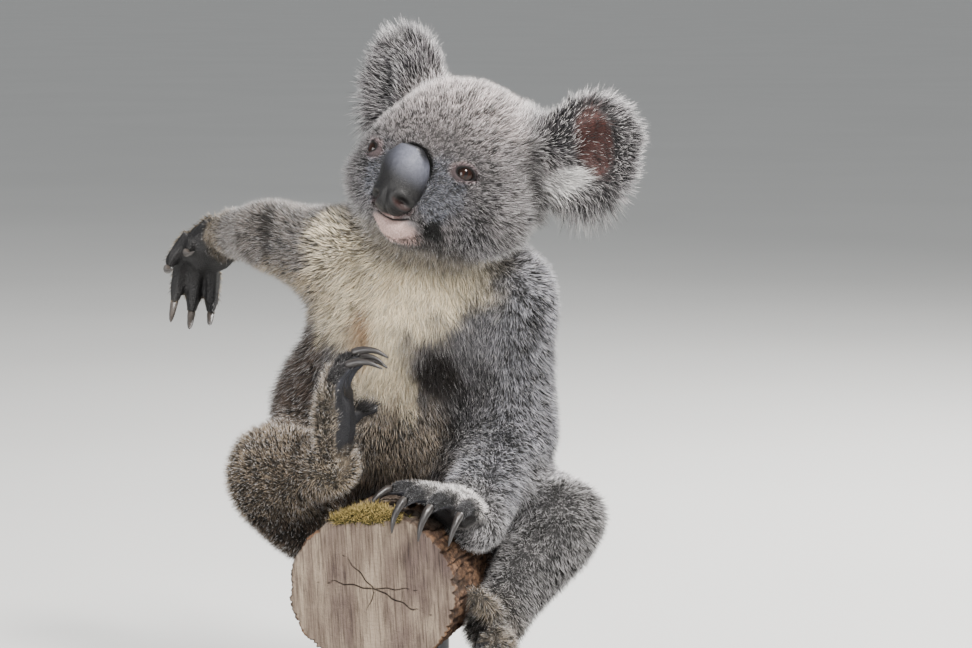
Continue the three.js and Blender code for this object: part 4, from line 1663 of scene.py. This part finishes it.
class TuftTree(Wiring):
    """The node tree that sets tufts on an emitter, by what is stored on the emitter's vertices."""

    SOCKETS = (
        ("Spacing", 0.0017), ("Density", 7000000.0), ("Width", 0.0006), ("Bend", 3.0), ("Sway", 1.6),
        ("Scatter", 0.2), ("Shortest", 0.7), ("Clump", 0.9), ("Specks", 470.0), ("Segments", 2), ("Seed", 1),
        ("Material", None),
    )
    CARRIED = ("hair", "cover", "rise", "lie", "unwrap", "patch", "bare")
    FLAT = 0.003

    def __init__(self) -> None:
        """Builds the tree."""
        super().__init__(bpy.data.node_groups.new("tufts", "GeometryNodeTree"))
        face = self.tree.interface
        face.new_socket("Geometry", in_out="INPUT", socket_type="NodeSocketGeometry")
        self.sockets = {}
        kinds = {float: "NodeSocketFloat", int: "NodeSocketInt"}
        for name, value in self.SOCKETS:
            kind = kinds.get(type(value), "NodeSocketMaterial")
            socket = face.new_socket(name, in_out="INPUT", socket_type=kind)
            self.sockets[name] = socket.identifier
            if value is not None:
                socket.default_value = value
        face.new_socket("Geometry", in_out="OUTPUT", socket_type="NodeSocketGeometry")
        self.given = self.add("NodeGroupInput").outputs
        self.add("NodeGroupOutput", {"Geometry": self.realized(self.instances())})

    def stored(self, name: str, kind: str = "FLOAT_VECTOR") -> Socket:
        """A vector, or another kind of value, stored on the emitter."""
        node = self.add("GeometryNodeInputNamedAttribute", {"Name": name}, data_type=kind)
        return node.outputs["Attribute"]

    def number(self, name: str) -> Socket:
        """A number stored on the emitter."""
        return self.stored(name, "FLOAT")

    def drawn(self, low: object, high: object, turn: int) -> Socket:
        """A random number.

        Args:
            low: the least it can be.
            high: the most.
            turn: what the seed is moved on by.

        Returns:
            The number.
        """
        seed = self.plus(self.given["Seed"], float(turn))
        node = self.add("FunctionNodeRandomValue", data_type="FLOAT")
        inputs = {socket.identifier: socket for socket in node.inputs}
        for key, value in (("Min_001", low), ("Max_001", high), ("Seed", seed)):
            self.feed(inputs[key], value)
        return next(output for output in node.outputs if output.identifier == "Value_001")

    def keep(self, geometry: object, name: str, value: object, kind: str, domain: str) -> Socket:
        """Stores a value on geometry.

        Args:
            geometry: the geometry.
            name: the attribute's name.
            value: the value.
            kind: its data type.
            domain: what it is stored on.

        Returns:
            The geometry.
        """
        node = self.add("GeometryNodeStoreNamedAttribute", {"Geometry": geometry, "Name": name},
                        data_type=kind, domain=domain)
        self.feed(node.inputs["Value"], value)
        return node.outputs[0]

    def tuft(self, side: float) -> Socket:
        """One tuft, a metre long and two wide, bent back and swayed.

        Args:
            side: how far it sways, and which way.

        Returns:
            The tuft, as one instance.
        """
        cone = self.add("GeometryNodeMeshCone", {"Vertices": 3, "Side Segments": self.given["Segments"],
                                                 "Radius Top": 0.0, "Radius Bottom": 1.0, "Depth": 1.0},
                        fill_type="NGON")
        place = self.add("ShaderNodeSeparateXYZ", {0: self.out("GeometryNodeInputPosition")})
        x, y, z = place.outputs
        fuller = self.plus(1.0, self.times(self.maths("SINE", self.times(z, math.pi)), 0.7))
        curve = self.maths("POWER", z, 2.0)
        back = self.times(self.times(curve, self.given["Bend"]), -1.0)
        sway = self.times(self.times(curve, self.given["Sway"]), side)
        moved = self.add("ShaderNodeCombineXYZ", {
            0: self.plus(self.times(x, fuller), back), 1: self.plus(self.times(y, fuller), sway), 2: z})
        kept = self.keep(cone.outputs["Mesh"], "along", z, "FLOAT", "POINT")
        across = self.out("ShaderNodeCombineXYZ", {0: self.times(y, 0.5), 1: z, 2: 0.0})
        kept = self.keep(kept, "patch", across, "FLOAT_VECTOR", "POINT")
        bent = self.add("GeometryNodeSetPosition", {"Geometry": kept, "Position": moved.outputs[0]})
        return self.out("GeometryNodeGeometryToInstance", {"Geometry": bent.outputs[0]})

    def instances(self) -> Socket:
        """Sets the tufts out and turns them to lie with the coat.

        Returns:
            The instances.
        """
        spread = self.add("GeometryNodeDistributePointsOnFaces", {
            "Mesh": self.given["Geometry"], "Distance Min": self.given["Spacing"],
            "Density Max": self.given["Density"], "Density Factor": self.number("cover"),
            "Seed": self.given["Seed"]}, distribute_method="POISSON")
        normal = spread.outputs["Normal"]
        stray = self.out("ShaderNodeCombineXYZ", {k: self.drawn(-1.0, 1.0, 3 + k) for k in range(3)})
        heading = self.vector("ADD", self.stored("lie"), self.stored("rise"))
        heading = self.vector("ADD", heading, self.vector("SCALE", stray, self.given["Scatter"]))
        here = self.out("GeometryNodeInputPosition")
        field = self.add("ShaderNodeTexNoise", {"Vector": here, "Scale": self.given["Specks"], "Detail": 1.0})
        wide_scale = self.times(self.given["Specks"], 0.38)
        banded = self.vector("MULTIPLY", here, (1.0, 1.0, 1.9))
        coarse = self.add("ShaderNodeTexNoise", {"Vector": banded, "Scale": wide_scale, "Detail": 1.0})
        both = self.vector("ADD", field.outputs[1], coarse.outputs[1])
        pulled = self.vector("SUBTRACT", both, (1.0, 1.0, 1.0))
        heading = self.vector("ADD", heading, self.vector("SCALE", pulled, self.given["Clump"]))
        turned = self.out("FunctionNodeAxesToRotation", {"Primary Axis": heading, "Secondary Axis": normal},
                          primary_axis="Z", secondary_axis="X")
        long = self.times(self.number("hair"), self.drawn(self.given["Shortest"], 1.15, 7))
        wide = self.times(self.given["Width"], self.drawn(0.6, 1.3, 8))
        size = self.out("ShaderNodeCombineXYZ", {0: wide, 1: wide, 2: long})
        shapes = self.add("GeometryNodeJoinGeometry")
        for side in (1.0, -1.0, 0.2):
            self.tree.links.new(self.tuft(side), shapes.inputs[0])
        placed = self.add("GeometryNodeInstanceOnPoints", {
            "Points": spread.outputs["Points"], "Instance": shapes.outputs[0], "Pick Instance": True,
            "Instance Index": self.maths("FLOOR", self.drawn(0.0, 2.999, 9)),
            "Rotation": turned, "Scale": size})
        fine = self.times(self.maths("SUBTRACT", field.outputs[0], 0.5), 1.9)
        shared = self.plus(fine, self.times(self.maths("SUBTRACT", coarse.outputs[0], 0.5), 1.1))
        own = self.times(self.drawn(-0.5, 0.5, 11), 0.4)
        tone = self.maths("ADD", self.plus(shared, own), 0.5, True)
        return self.keep(placed.outputs[0], "tuft", tone, "FLOAT", "INSTANCE")

    def realized(self, instances: Socket) -> Socket:
        """Makes the tufts a mesh, each with its patch on the flat map.

        Args:
            instances: the tufts.

        Returns:
            The mesh.
        """
        mesh = self.out("GeometryNodeRealizeInstances", {0: instances})
        patch = self.vector("SCALE", self.stored("patch"), self.FLAT)
        flat = self.vector("ADD", self.stored("unwrap"), patch)
        mesh = self.keep(mesh, "OFBake", flat, "FLOAT2", "CORNER")
        for name in self.CARRIED:
            mesh = self.out("GeometryNodeRemoveAttribute", {"Geometry": mesh, "Name": name})
        mesh = self.out("GeometryNodeSetShadeSmooth", {"Geometry": mesh})
        return self.out("GeometryNodeSetMaterial", {"Geometry": mesh, "Material": self.given["Material"]})


@dataclass(frozen=True)
class Region:
    """One piece of the coat: the nodes it grows on, and how its tufts are made."""

    name: str
    nodes: tuple[str, ...]
    spacing: float
    width: float
    segments: int = 2
    bend: float = 3.0
    scatter: float = 0.2
    slot: Slot = Slot.GREY_FUR


BACK_OF_HEAD = "back_of_head"

REGIONS = (
    Region("coat_face", ("head",), 0.64, 0.2, 1, 0.8, 0.55),
    Region("coat_nape", (BACK_OF_HEAD,), 0.78, 0.24, 1, 0.8, 0.5),
    Region("coat_left_ear", ("left_ear",), 1.0, 0.2, 2, 3.0, 0.5),
    Region("coat_right_ear", ("right_ear",), 1.05, 0.2, 2, 3.0, 0.5),
    Region("coat_neck_and_chest", ("neck", "chest"), 0.88, 0.25, 1, 2.0, 0.4, Slot.PALE_FUR),
    Region("coat_belly_and_rump", ("belly", "rump"), 0.98, 0.28, 1, 2.0, 0.45, Slot.BROWN_FUR),
    Region("coat_left_arm", LEFT_ARM, 0.74, 0.23, 1, 2.0, 0.5),
    Region("coat_right_arm", RIGHT_ARM, 0.84, 0.24, 1, 2.0, 0.5),
    Region("coat_left_leg", LEFT_LEG, 0.85, 0.24, 1, 2.0, 0.5),
    Region("coat_right_leg", RIGHT_LEG, 0.86, 0.24, 1, 2.0, 0.5, Slot.BROWN_FUR),
    Region("coat_hands", ("left_hand", "right_hand"), 0.75, 0.22, 1, 1.0, 0.3),
    Region("coat_feet", ("left_foot", "right_foot"), 0.75, 0.22, 1, 1.0, 0.3),
)


@dataclass
class TuftedCoat:
    """The coat's pieces, grown region by region."""

    body: Body

    def grow(self) -> None:
        """Makes every region's piece."""
        self.tree = TuftTree()
        mesh = self.body.thing.data
        corners = read(mesh.loops, "vertex_index", 1, int)[:, 0]
        starts = read(mesh.polygons, "loop_start", 1, int)[:, 0]
        names = np.array([flesh.node for flesh in FLESH])
        self.face_home = names[self.body.home[corners[starts]]]
        behind = self.body.head.local(read(mesh.polygons, "center"))[:, 1] > 6
        self.face_home[(self.face_home == "head") & behind] = BACK_OF_HEAD
        for seed, region in enumerate(REGIONS):
            self.grow_region(region, seed + 3)

    def emitter(self, region: Region) -> Thing:
        """Cuts out the part of the skin that a region grows on, and unwraps it by its own shape.

        Args:
            region: the region.

        Returns:
            The cut-out.
        """
        mesh = self.body.thing.data.copy()
        shape = bmesh.new()
        shape.from_mesh(mesh)
        shape.faces.ensure_lookup_table()
        inside = np.isin(self.face_home, region.nodes)
        bmesh.ops.delete(shape, geom=[shape.faces[i] for i in np.flatnonzero(~inside)], context="FACES")
        shape.to_mesh(mesh)
        shape.free()
        thing = linked("emitter", mesh)
        bpy.context.view_layer.objects.active = thing
        bpy.ops.object.mode_set(mode="EDIT")
        bpy.ops.mesh.select_all(action="SELECT")
        bpy.ops.uv.smart_project(angle_limit=1.15, island_margin=0.004)
        bpy.ops.object.mode_set(mode="OBJECT")
        mesh.uv_layers[0].name = "unwrap"
        return thing

    def grow_region(self, region: Region, seed: int) -> None:
        """Grows one region's tufts and makes them a piece.

        Args:
            region: the region.
            seed: what its random numbers start from.
        """
        thing = self.emitter(region)
        grower = thing.modifiers.new("tufts", "NODES")
        grower.node_group = self.tree.tree
        settings = {"Spacing": region.spacing * MM, "Width": region.width * MM, "Bend": region.bend,
                    "Scatter": region.scatter, "Segments": region.segments, "Seed": seed,
                    "Material": Fur().material()}
        for name, value in settings.items():
            grower[self.tree.sockets[name]] = value
        place(finished(thing, region.name), Fur(), region.slot)


def turned(profile: Path, around: int) -> tuple[Array, list[list[int]]]:
    """A closed shape turned about z.

    Args:
        profile: each ring's radius and height from the top down, its first and last on the axis.
        around: how many points a ring has.

    Returns:
        Its points and its faces.
    """
    turn = math.tau * np.arange(around) / around
    flat = np.column_stack([np.cos(turn), np.sin(turn), np.zeros(around)])
    rings = [flat * radius + [0, 0, height] for radius, height in profile[1:-1]]
    points = np.vstack([[0, 0, profile[0][1]], *rings, [0, 0, profile[-1][1]]])
    steps = [(k, (k + 1) % around) for k in range(around)]
    faces = [[0, 1 + k, 1 + other] for k, other in steps]
    last = len(points) - 1
    for base in range(1, last - around, around):
        after = base + around
        faces += [[base + k, after + k, after + other, base + other] for k, other in steps]
    base = last - around
    return points, faces + [[base + k, last, base + other] for k, other in steps]


@dataclass
class Eyeballs:
    """Two eyeballs with a raised cornea."""

    head: HeadAxes
    eyes: tuple[Eye, Eye]
    rings: int = 40
    around: int = 48
    cornea: float = 0.55

    def build(self) -> None:
        """Makes both eyes and their own coordinates for the iris."""
        polar = math.pi * np.arange(self.rings + 1) / self.rings
        points, faces = turned(np.column_stack([np.sin(polar), np.cos(polar)]), self.around)
        for eye in self.eyes:
            middle, axes = eye.axes(self.head)
            bulge = 1 + self.cornea / eye.ball * ease(points[:, 2], 0.62, 0.86)
            local = points * bulge[:, None] * eye.ball
            thing = new_object(f"{eye.name}ball", middle + local @ axes * MM, faces)
            store(thing.data, "gaze", local)
            place(thing, Eyeball(), Slot.EYE, eye.name)


@dataclass
class NosePad:
    """The big leathery nose pad with its two nostrils."""

    head: HeadAxes
    palette: Palette
    voxel: float = 0.95
    nostril: Colour = (11.8, -79.5, -29.0)
    shape: BVHTree | None = None

    def build(self) -> None:
        """Smooths the solid's shape, presses in the nostrils, and marks its colours."""
        node = Node.of("nose")
        thing = remeshed([(node.points, node.faces)], self.voxel * MM, "nose_pad")
        sculpt = Sculpt(thing)
        sculpt.round_off(70)
        normals = sculpt.normals()
        local = self.head.local(sculpt.points)
        folded = local * [0, 1, 1] + np.abs(local) * [1, 0, 0]
        turned = folded - self.nostril
        lean = turned @ np.array([[0.86, 0, 0.5], [0, 1, 0], [-0.5, 0, 0.86]])
        slit = length_of(lean / [6.8, 10, 4.3])
        groove = bell(local[:, 0], 0, 1.1) * ease(local[:, 2], -16, -32)
        flare = bell(slit, 1.4, 0.35)
        waist = bell(local[:, 2], -12, 8) * ease(np.abs(local[:, 0]), 8, 18)
        push = 0.4 + 0.9 * flare - 4.8 * ease(slit, 1.05, 0.3) - 0.8 * groove - 1.2 * waist
        push = push + 0.2 * noise(sculpt.points, 0.004, 61)
        sculpt.push(normals, push)
        sculpt.smooth(2, 0.6)
        sculpt.write()
        # painted sheen: the pad's marking turns paler towards the top and the animal's left side, over the
        # dark leather
        top = ease(local[:, 2] + 0.35 * local[:, 0], -14, 12) * (0.35 + 0.65 * ease(local[:, 0], -14, 8))
        blank = np.zeros_like(local)
        colour = blend(blank + linear(12, 11, 12), linear(92, 94, 105), top)
        facing = self.head.turned((0, -1, 0))
        edge = ease(normals @ facing, 0.5, 0.1) * ease(local[:, 2], -2, 10)
        colour = blend(colour, self.palette.line, 0.9 * edge)
        # inside the nostrils: a red-brown lining below, and near black towards the top as painted shade in
        # the hole
        deep = blank + np.array(self.palette.line) * 0.5
        red = blend(deep, linear(34, 17, 15), ease(lean[:, 2], 1.0, -2.6))
        colour = blend(colour, red, ease(slit, 1.3, 0.95))
        store(thing.data, "marking", opaque(colour))
        thing.data.shade_smooth()
        self.shape = caster(self.head.local(sculpt.points), thing.data)
        place(thing, NoseLeather(), Slot.NOSE, "nose")


@dataclass
class Claws:
    """Each claw smoothed from its solid, paler towards its root, and paler along its upward-facing ridge as a
    painted highlight.
    """

    levels: int = 2
    swell: float = 0.25

    def build(self) -> None:
        """Makes one piece of each paw's claws."""
        for paw in PAWS:
            names = sorted(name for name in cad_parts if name.startswith(f"{paw}_claw"))
            points, faces, tones = [], [], []
            base = 0
            for name in names:
                claw = self.smoothed(name)
                normals = read(claw.data.vertex_normals, "vector")
                spots = read(claw.data.vertices, "co") + normals * self.swell * MM
                gap = length_of(spots - Node.of(paw).middle)
                # the first term makes the claw paler towards its root; the second is a painted highlight,
                # paler where the surface faces up
                tone = 0.2 * ease(gap, gap.max(), gap.min()) + 0.22 * ease(normals[:, 2], 0.35, 0.95)
                tone = tone + (0.35 if paw == "right_hand" else 0.0)
                points.append(spots)
                faces += [[i + base for i in face.vertices] for face in claw.data.polygons]
                tones.append(tone)
                base += len(spots)
                bpy.data.objects.remove(claw)
            thing = new_object(f"{paw}_claws", np.concatenate(points), faces)
            store(thing.data, "tone", np.concatenate(tones))
            place(thing, Horn(), Slot.HORN, *names)

    def smoothed(self, name: str) -> Thing:
        """Subdivides one claw's solid.

        Args:
            name: the claw's node.

        Returns:
            The smooth claw.
        """
        node = Node.of(name)
        rough = new_object("rough", node.points, node.faces)
        finer = rough.modifiers.new("smooth", "SUBSURF")
        finer.levels = self.levels
        finer.render_levels = self.levels
        return finished(rough, "claw")


class End(Enum):
    """The log's two sawn ends."""

    FRONT = 0
    REAR = 1


@dataclass
class Log:
    """The cut log: a near-round trunk with sawn ends, flaking bark and a little moss.

    A crack runs its own way from the pith, by an angle, its reach in metres and its width in millimetres.
    The moss lies round a place on the front edge, by its middle and reach in millimetres.
    """

    around: int = 360
    along: int = 120
    rings: int = 46
    half_width: float = 67.5
    half_height: float = 62.5
    bark_round: float = 0.067
    chamfer: float = 0.015
    sunk: float = 0.3
    pith: float = 0.001
    seed: int = 71
    runs: Path = ((3.03, 0.056, 0.5), (0.06, 0.038, 0.4), (5.87, 0.056, 0.55),
                  (2.36, 0.048, 0.45), (4.4, 0.022, 0.3))
    moss_middle: Colour = (-15, 62, 3)
    moss_reach: Colour = (38, 9, 14)

    def __post_init__(self) -> None:
        """Finds the log's place and direction from its solid."""
        node = Node.of("log")
        spread = node.cloud - node.cloud.mean(0)
        axis = np.linalg.svd(spread, full_matrices=False)[2][0]
        self.axis = axis * np.sign(axis[1])
        self.side = unit(np.cross(self.axis, [0, 0, 1.0]))
        self.up = np.cross(self.side, self.axis)
        reach = (node.points - node.middle) @ self.axis
        self.front = node.middle + self.axis * reach.min()
        self.length = float(reach.max() - reach.min())

    def at(self, x: Array | float, y: Array | float, along: Array | float) -> Array:
        """Places in metres from the middle of the front end."""
        return self.front + np.outer(x, self.side) + np.outer(y, self.up) + np.outer(along, self.axis)

    def outline(self, turn: Array, along: Array) -> tuple[Array, Array, Array]:
        """The bark's surface.

        Args:
            turn: the angle of each place round the log.
            along: how far it is from the front end, in metres.

        Returns:
            The radius in metres, how high the bark's plates stand, and how rusty they are.
        """
        flat = np.stack([np.cos(turn), np.sin(turn)], 1)
        radius = 1 / np.sqrt((flat[:, 0] / self.half_width) ** 2 + (flat[:, 1] / self.half_height) ** 2)
        wander = np.column_stack([flat * 0.9, along * 5])
        radius = radius * (1 + 0.02 * noise(wander, 0.8, self.seed))
        bark = np.column_stack([flat * self.bark_round * 2.6, along])
        plates = noise(bark, 0.012, self.seed + 1) * 0.5 + noise(bark, 0.005, self.seed + 2) * 0.5
        long_bark = np.column_stack([flat * self.bark_round * 3.4, along * 0.7])
        fissure = ease(np.abs(noise(long_bark, 0.017, self.seed + 3)), 0.22, 0.02)
        rust = ease(noise(bark, 0.05, self.seed + 4) + 0.9 * ease(flat[:, 0], 0.5, 0.9), 0.0, 0.6)
        rugged = 0.35 + 0.65 * rust
        thick = (1.5 * plates - 2.2 * fissure) * rugged + 0.8 * noise(bark, 0.003, self.seed + 5)
        return (radius + thick - 0.5) * MM, plates - fissure, rust

    def side_ring(self, turn: Array, share: float) -> dict[str, Array]:
        """One ring of the side.

        Args:
            turn: the angle of each of its points.
            share: how far along the log it is, 0 to 1.

        Returns:
            Its points, and what the finish reads on them.
        """
        along = np.full(self.around, share * self.length)
        radius, plates, rust = self.outline(turn, along)
        radius = radius * (1 - self.chamfer * (share in (0.0, 1.0)))
        ones = np.ones(self.around)
        return {"spots": self.at(np.cos(turn) * radius, np.sin(turn) * radius, along), "bark": ones,
                "crack": 0 * ones, "ring": radius, "plate": plates, "rust": rust}

    def end_ring(self, turn: Array, radius: Array, end: End) -> dict[str, Array]:
        """One ring of a sawn end, with its cracks pressed in.

        Args:
            turn: the angle of each of its points.
            radius: how far they are from the middle, in metres.
            end: which end it is on.

        Returns:
            Its points, and what the finish reads on them.
        """
        inwards = 1 - 2 * end.value
        x, y = np.cos(turn) * radius, np.sin(turn) * radius
        pith = self.pith * inwards
        crack = self.cracks(x - pith, y - pith, end)
        flat = np.column_stack([x, 0.1 * y, np.zeros(len(x))])
        ripple = noise(flat, 0.009, self.seed + 9 + end.value)
        deep = (1.4 * crack + 0.1 * ripple + self.sunk) * MM * inwards
        zero = np.zeros(self.around)
        return {"spots": self.at(x, y, deep + end.value * self.length), "bark": zero, "crack": crack,
                "ring": np.hypot(x - pith, y - pith), "plate": zero, "rust": zero}

    def cracks(self, x: Array, y: Array, end: End) -> Array:
        """How deep in a crack each place of an end is.

        Args:
            x: how far it is to the side of the pith, in metres.
            y: how far it is above the pith.
            end: which end it is on.

        Returns:
            A number from 0 to 1 for each place.
        """
        radius = np.hypot(x, y)
        turn = np.arctan2(y, x)
        blank = np.zeros(len(x))
        places = np.column_stack([radius, blank, blank])
        wander = 0.07 * noise(places, 0.008, self.seed + 20 + end.value)
        total = blank
        for way, reach, wide in self.runs:
            way = way + end.value * 0.8
            side = np.abs((turn - way - wander + math.pi) % math.tau - math.pi) * radius
            width = wide * MM * ease(radius, reach, reach * 0.25) + 1e-5
            depth = ease(side, width * 1.4, width * 0.5) * ease(radius, reach, reach * 0.9)
            total = np.maximum(total, depth)
        return total

    def build(self) -> None:
        """Makes the side and both ends as one closed mesh."""
        turn = math.tau * np.arange(self.around) / self.around
        rows = []
        for end in End:
            rim = self.outline(turn, np.full(self.around, end.value * self.length))[0] * (1 - self.chamfer)
            rows += [self.end_ring(turn, rim * (step / self.rings), end) for step in range(1, self.rings)]
        rows += [self.side_ring(turn, share) for share in np.linspace(0, 1, self.along + 1)]
        count = self.rings - 1
        order = [*range(count), *range(2 * count, len(rows)), *range(2 * count - 1, count - 1, -1)]
        k = np.arange(self.around)
        other = (k + 1) % self.around
        faces = []
        for a, b in zip(order[:-1], order[1:]):
            base, after = a * self.around, b * self.around
            faces += np.stack([base + k, base + other, after + other, after + k], 1).tolist()
        hub = len(rows) * self.around
        faces += [[hub, (i + 1) % self.around, i] for i in range(self.around)]
        base = count * self.around
        faces += [[hub + 1, base + i, base + (i + 1) % self.around] for i in range(self.around)]
        hubs = [self.at(0, 0, 0), self.at(0, 0, self.length)]
        thing = new_object("log_and_bark", np.vstack([row["spots"] for row in rows] + hubs), faces)
        for name in ("bark", "crack", "ring", "plate", "rust"):
            values = [row[name] for row in rows]
            middles = [values[0].mean(), values[count].mean()]
            store(thing.data, name, np.concatenate([*values, middles]))
        self.grow_moss(thing)
        place(thing, LogWood(), Slot.WOOD, "log")

    def grow_moss(self, thing: Thing) -> None:
        """Marks where moss lies.

        Args:
            thing: the log's object.
        """
        spots = read(thing.data.vertices, "co")
        local = (spots - self.front) @ np.stack([self.side, self.up, self.axis]).T / MM
        far = length_of((local - self.moss_middle) / self.moss_reach)
        ragged = far + 0.7 * noise(spots, 0.009, 81) + 0.4 * noise(spots, 0.003, 82)
        moss = ease(ragged, 1.15, 0.8)
        store(thing.data, "moss", moss)
        self.moss_spots = spots[moss > 0.5]


@dataclass
class MossTufts:
    """Short sprigs of moss standing on the log's mossy patch, each a thin spike of three sides."""

    log: Log
    sprigs: int = 3600
    shortest: float = 1.5
    longest: float = 9.5
    half_width: float = 0.42
    scatter: float = 0.6
    stray: float = 0.75
    lean: float = 0.5

    def build(self) -> None:
        """Makes all the sprigs as one mesh."""
        draw = np.random.default_rng(91)
        axis = self.log.axis
        roots = self.log.moss_spots[draw.integers(0, len(self.log.moss_spots), self.sprigs)]
        roots = roots + draw.normal(0, self.scatter * MM, roots.shape)
        out = roots - self.log.front
        out = unit(out - np.outer(out @ axis, axis))
        heading = unit(out + draw.normal(0, self.stray, roots.shape) - axis * self.lean)
        across = unit(np.cross(heading, [0.3, 0.9, 0.2]))
        other = np.cross(heading, across)
        tall = draw.random((self.sprigs, 1)) ** 3 * (self.longest - self.shortest) + self.shortest
        wide = self.half_width * MM
        sides = ((1.0, 0.0), (-0.5, 0.87), (-0.5, -0.87))
        corners = [roots + (across * x + other * y) * wide for x, y in sides] + [roots + heading * tall * MM]
        points = np.stack(corners, 1).reshape(-1, 3)
        base = 4 * np.arange(self.sprigs)[:, None]
        faces = [base + side for side in ((0, 1, 3), (1, 2, 3), (2, 0, 3), (2, 1, 0))]
        thing = new_object("log_moss", points, np.concatenate(faces).tolist())
        store(thing.data, "along", np.tile([0.0, 0.0, 0.0, 1.0], self.sprigs))
        store(thing.data, "tuft", np.repeat(draw.random(self.sprigs), 4))
        place(thing, Moss(), Slot.WOOD)


@dataclass
class Stand:
    """The plain display stand: a base with rounded edges, and two rods with collars."""

    bevel: float = 0.0025
    bevel_steps: int = 4
    corner: float = 40.0
    sharp: float = 38.0
    around: int = 64
    collar: float = 1.9
    collar_top: float = 1.75
    collar_height: float = 0.0055
    collar_edge: float = 0.0015
    tuck: float = 0.0005

    def build(self) -> None:
        """Makes the base and both rods."""
        self.base()
        for name in ("stand_rod_front", "stand_rod_rear"):
            self.rod(name)

    def base(self) -> None:
        """Bevels the edges of the base."""
        node = Node.of("stand_base")
        rough = new_object("rough", node.points, node.faces, False)
        rough.modifiers.new("flat", "DECIMATE").decimate_type = "DISSOLVE"
        edge = rough.modifiers.new("edges", "BEVEL")
        edge.width = self.bevel
        edge.segments = self.bevel_steps
        edge.limit_method = "ANGLE"
        edge.angle_limit = math.radians(self.corner)
        done = finished(rough, "display_base")
        done.data.shade_smooth()
        done.data.set_sharp_from_angle(angle=math.radians(self.sharp))
        place(done, Paint(), Slot.PAINT, "stand_base")

    def rod(self, name: str) -> None:
        """Turns one rod with a collar at its foot.

        Args:
            name: the rod's node.
        """
        low, high = (np.array(corner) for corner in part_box(name))
        radius = float(high[0] - low[0]) / 2
        foot, top = low[2], high[2] - self.tuck
        shoulder = foot + self.collar_height
        wide = radius * self.collar
        profile = ((0.0, top), (radius, top), (radius, shoulder), (radius * self.collar_top, shoulder),
                   (wide, shoulder - self.collar_edge), (wide, foot), (0.0, foot))
        points, faces = turned(profile, self.around)
        points = points + (low + high) / 2 * [1, 1, 0]
        thing = new_object(name.replace("stand", "display"), points, faces)
        thing.data.set_sharp_from_angle(angle=math.radians(self.corner))
        place(thing, Paint(), Slot.PAINT, name)


@dataclass(frozen=True)
class Lamp:
    """One soft light: where it stands, how big and strong it is, and its colour."""

    name: str
    place: Colour
    size: float
    power: float
    colour: Colour


@dataclass
class Studio:
    """The camera, the soft lights and the plain floor."""

    target: Colour = (0.065, 0.0, 0.365)
    distance: float = 2.8
    elevation: float = 6.0
    lens: float = 130.0
    lamps: tuple[Lamp, ...] = (
        Lamp("key", (1.0, -2.1, 2.6), 0.7, 240.0, (1.0, 0.97, 0.93)),
        Lamp("fill", (-2.0, -2.8, 0.9), 2.0, 125.0, (1.0, 0.99, 0.98)),
        Lamp("rim", (1.7, 1.5, 2.3), 0.8, 230.0, (1.0, 0.98, 0.96)),
    )
    world: Colour = (0.80, 0.82, 0.84)
    world_strength: float = 0.6
    floor_half: float = 60.0
    sensor: float = 36.0
    far: float = 300.0

    def build(self) -> None:
        """Builds all of it."""
        self.light()
        self.lay_floor()
        self.aim()

    def light(self) -> None:
        """Sets the lamps and a pale, even world."""
        for lamp in self.lamps:
            data = bpy.data.lights.new(lamp.name, "AREA")
            data.shape = "DISK"
            data.size = lamp.size
            data.energy = lamp.power
            data.color = lamp.colour
            thing = linked(lamp.name, data)
            thing.location = lamp.place
            heading = Vector(self.target) - Vector(lamp.place)
            thing.rotation_euler = heading.to_track_quat("-Z", "Y").to_euler()
        world = bpy.data.worlds.new("studio_world")
        world.use_nodes = True
        backdrop = world.node_tree.nodes["Background"]
        backdrop.inputs["Color"].default_value = (*self.world, 1)
        backdrop.inputs["Strength"].default_value = self.world_strength
        bpy.context.scene.world = world

    def lay_floor(self) -> None:
        """Lays a wide floor under the stand."""
        r = self.floor_half
        corners = np.array([(-r, -r, 0), (r, -r, 0), (r, r, 0), (-r, r, 0)], float)
        floor = new_object("studio_floor", corners, [[0, 1, 2, 3]], False)
        floor.data.materials.append(Backdrop().material())

    def aim(self) -> None:
        """Points the camera at the body from in front, a little from above."""
        rise = math.radians(self.elevation)
        look = Vector((0, math.cos(rise), -math.sin(rise)))
        data = bpy.data.cameras.new("camera")
        data.lens = self.lens
        data.sensor_width = self.sensor
        data.clip_end = self.far
        camera = linked("camera", data)
        camera.location = Vector(self.target) - look * self.distance
        camera.rotation_euler = look.to_track_quat("-Z", "Y").to_euler()
        bpy.context.scene.camera = camera


def main() -> None:
    """Builds the koala, its log and stand, and the studio, in order."""
    logging.basicConfig(level=logging.INFO, format="%(name)s: %(message)s")
    head = HeadAxes()
    eyes = (Eye("left_eye", 1), Eye("right_eye", -1))
    palette = Palette()
    nose = NosePad(head, palette)
    nose.build()
    body = Body(head, eyes, nose.shape)
    body.shape()
    coat = Coat(body, palette)
    coat.comb()
    coat.trim()
    coat.paint()
    coat.keep()
    place(body.thing, Skin(), Slot.GREY_FUR, *[flesh.node for flesh in FLESH])
    TuftedCoat(body).grow()
    Eyeballs(head, eyes).build()
    Claws().build()
    log = Log()
    log.build()
    MossTufts(log).build()
    Stand().build()
    Studio().build()
    REPORT.info("sizes written")


if __name__ == "__main__":
    main()
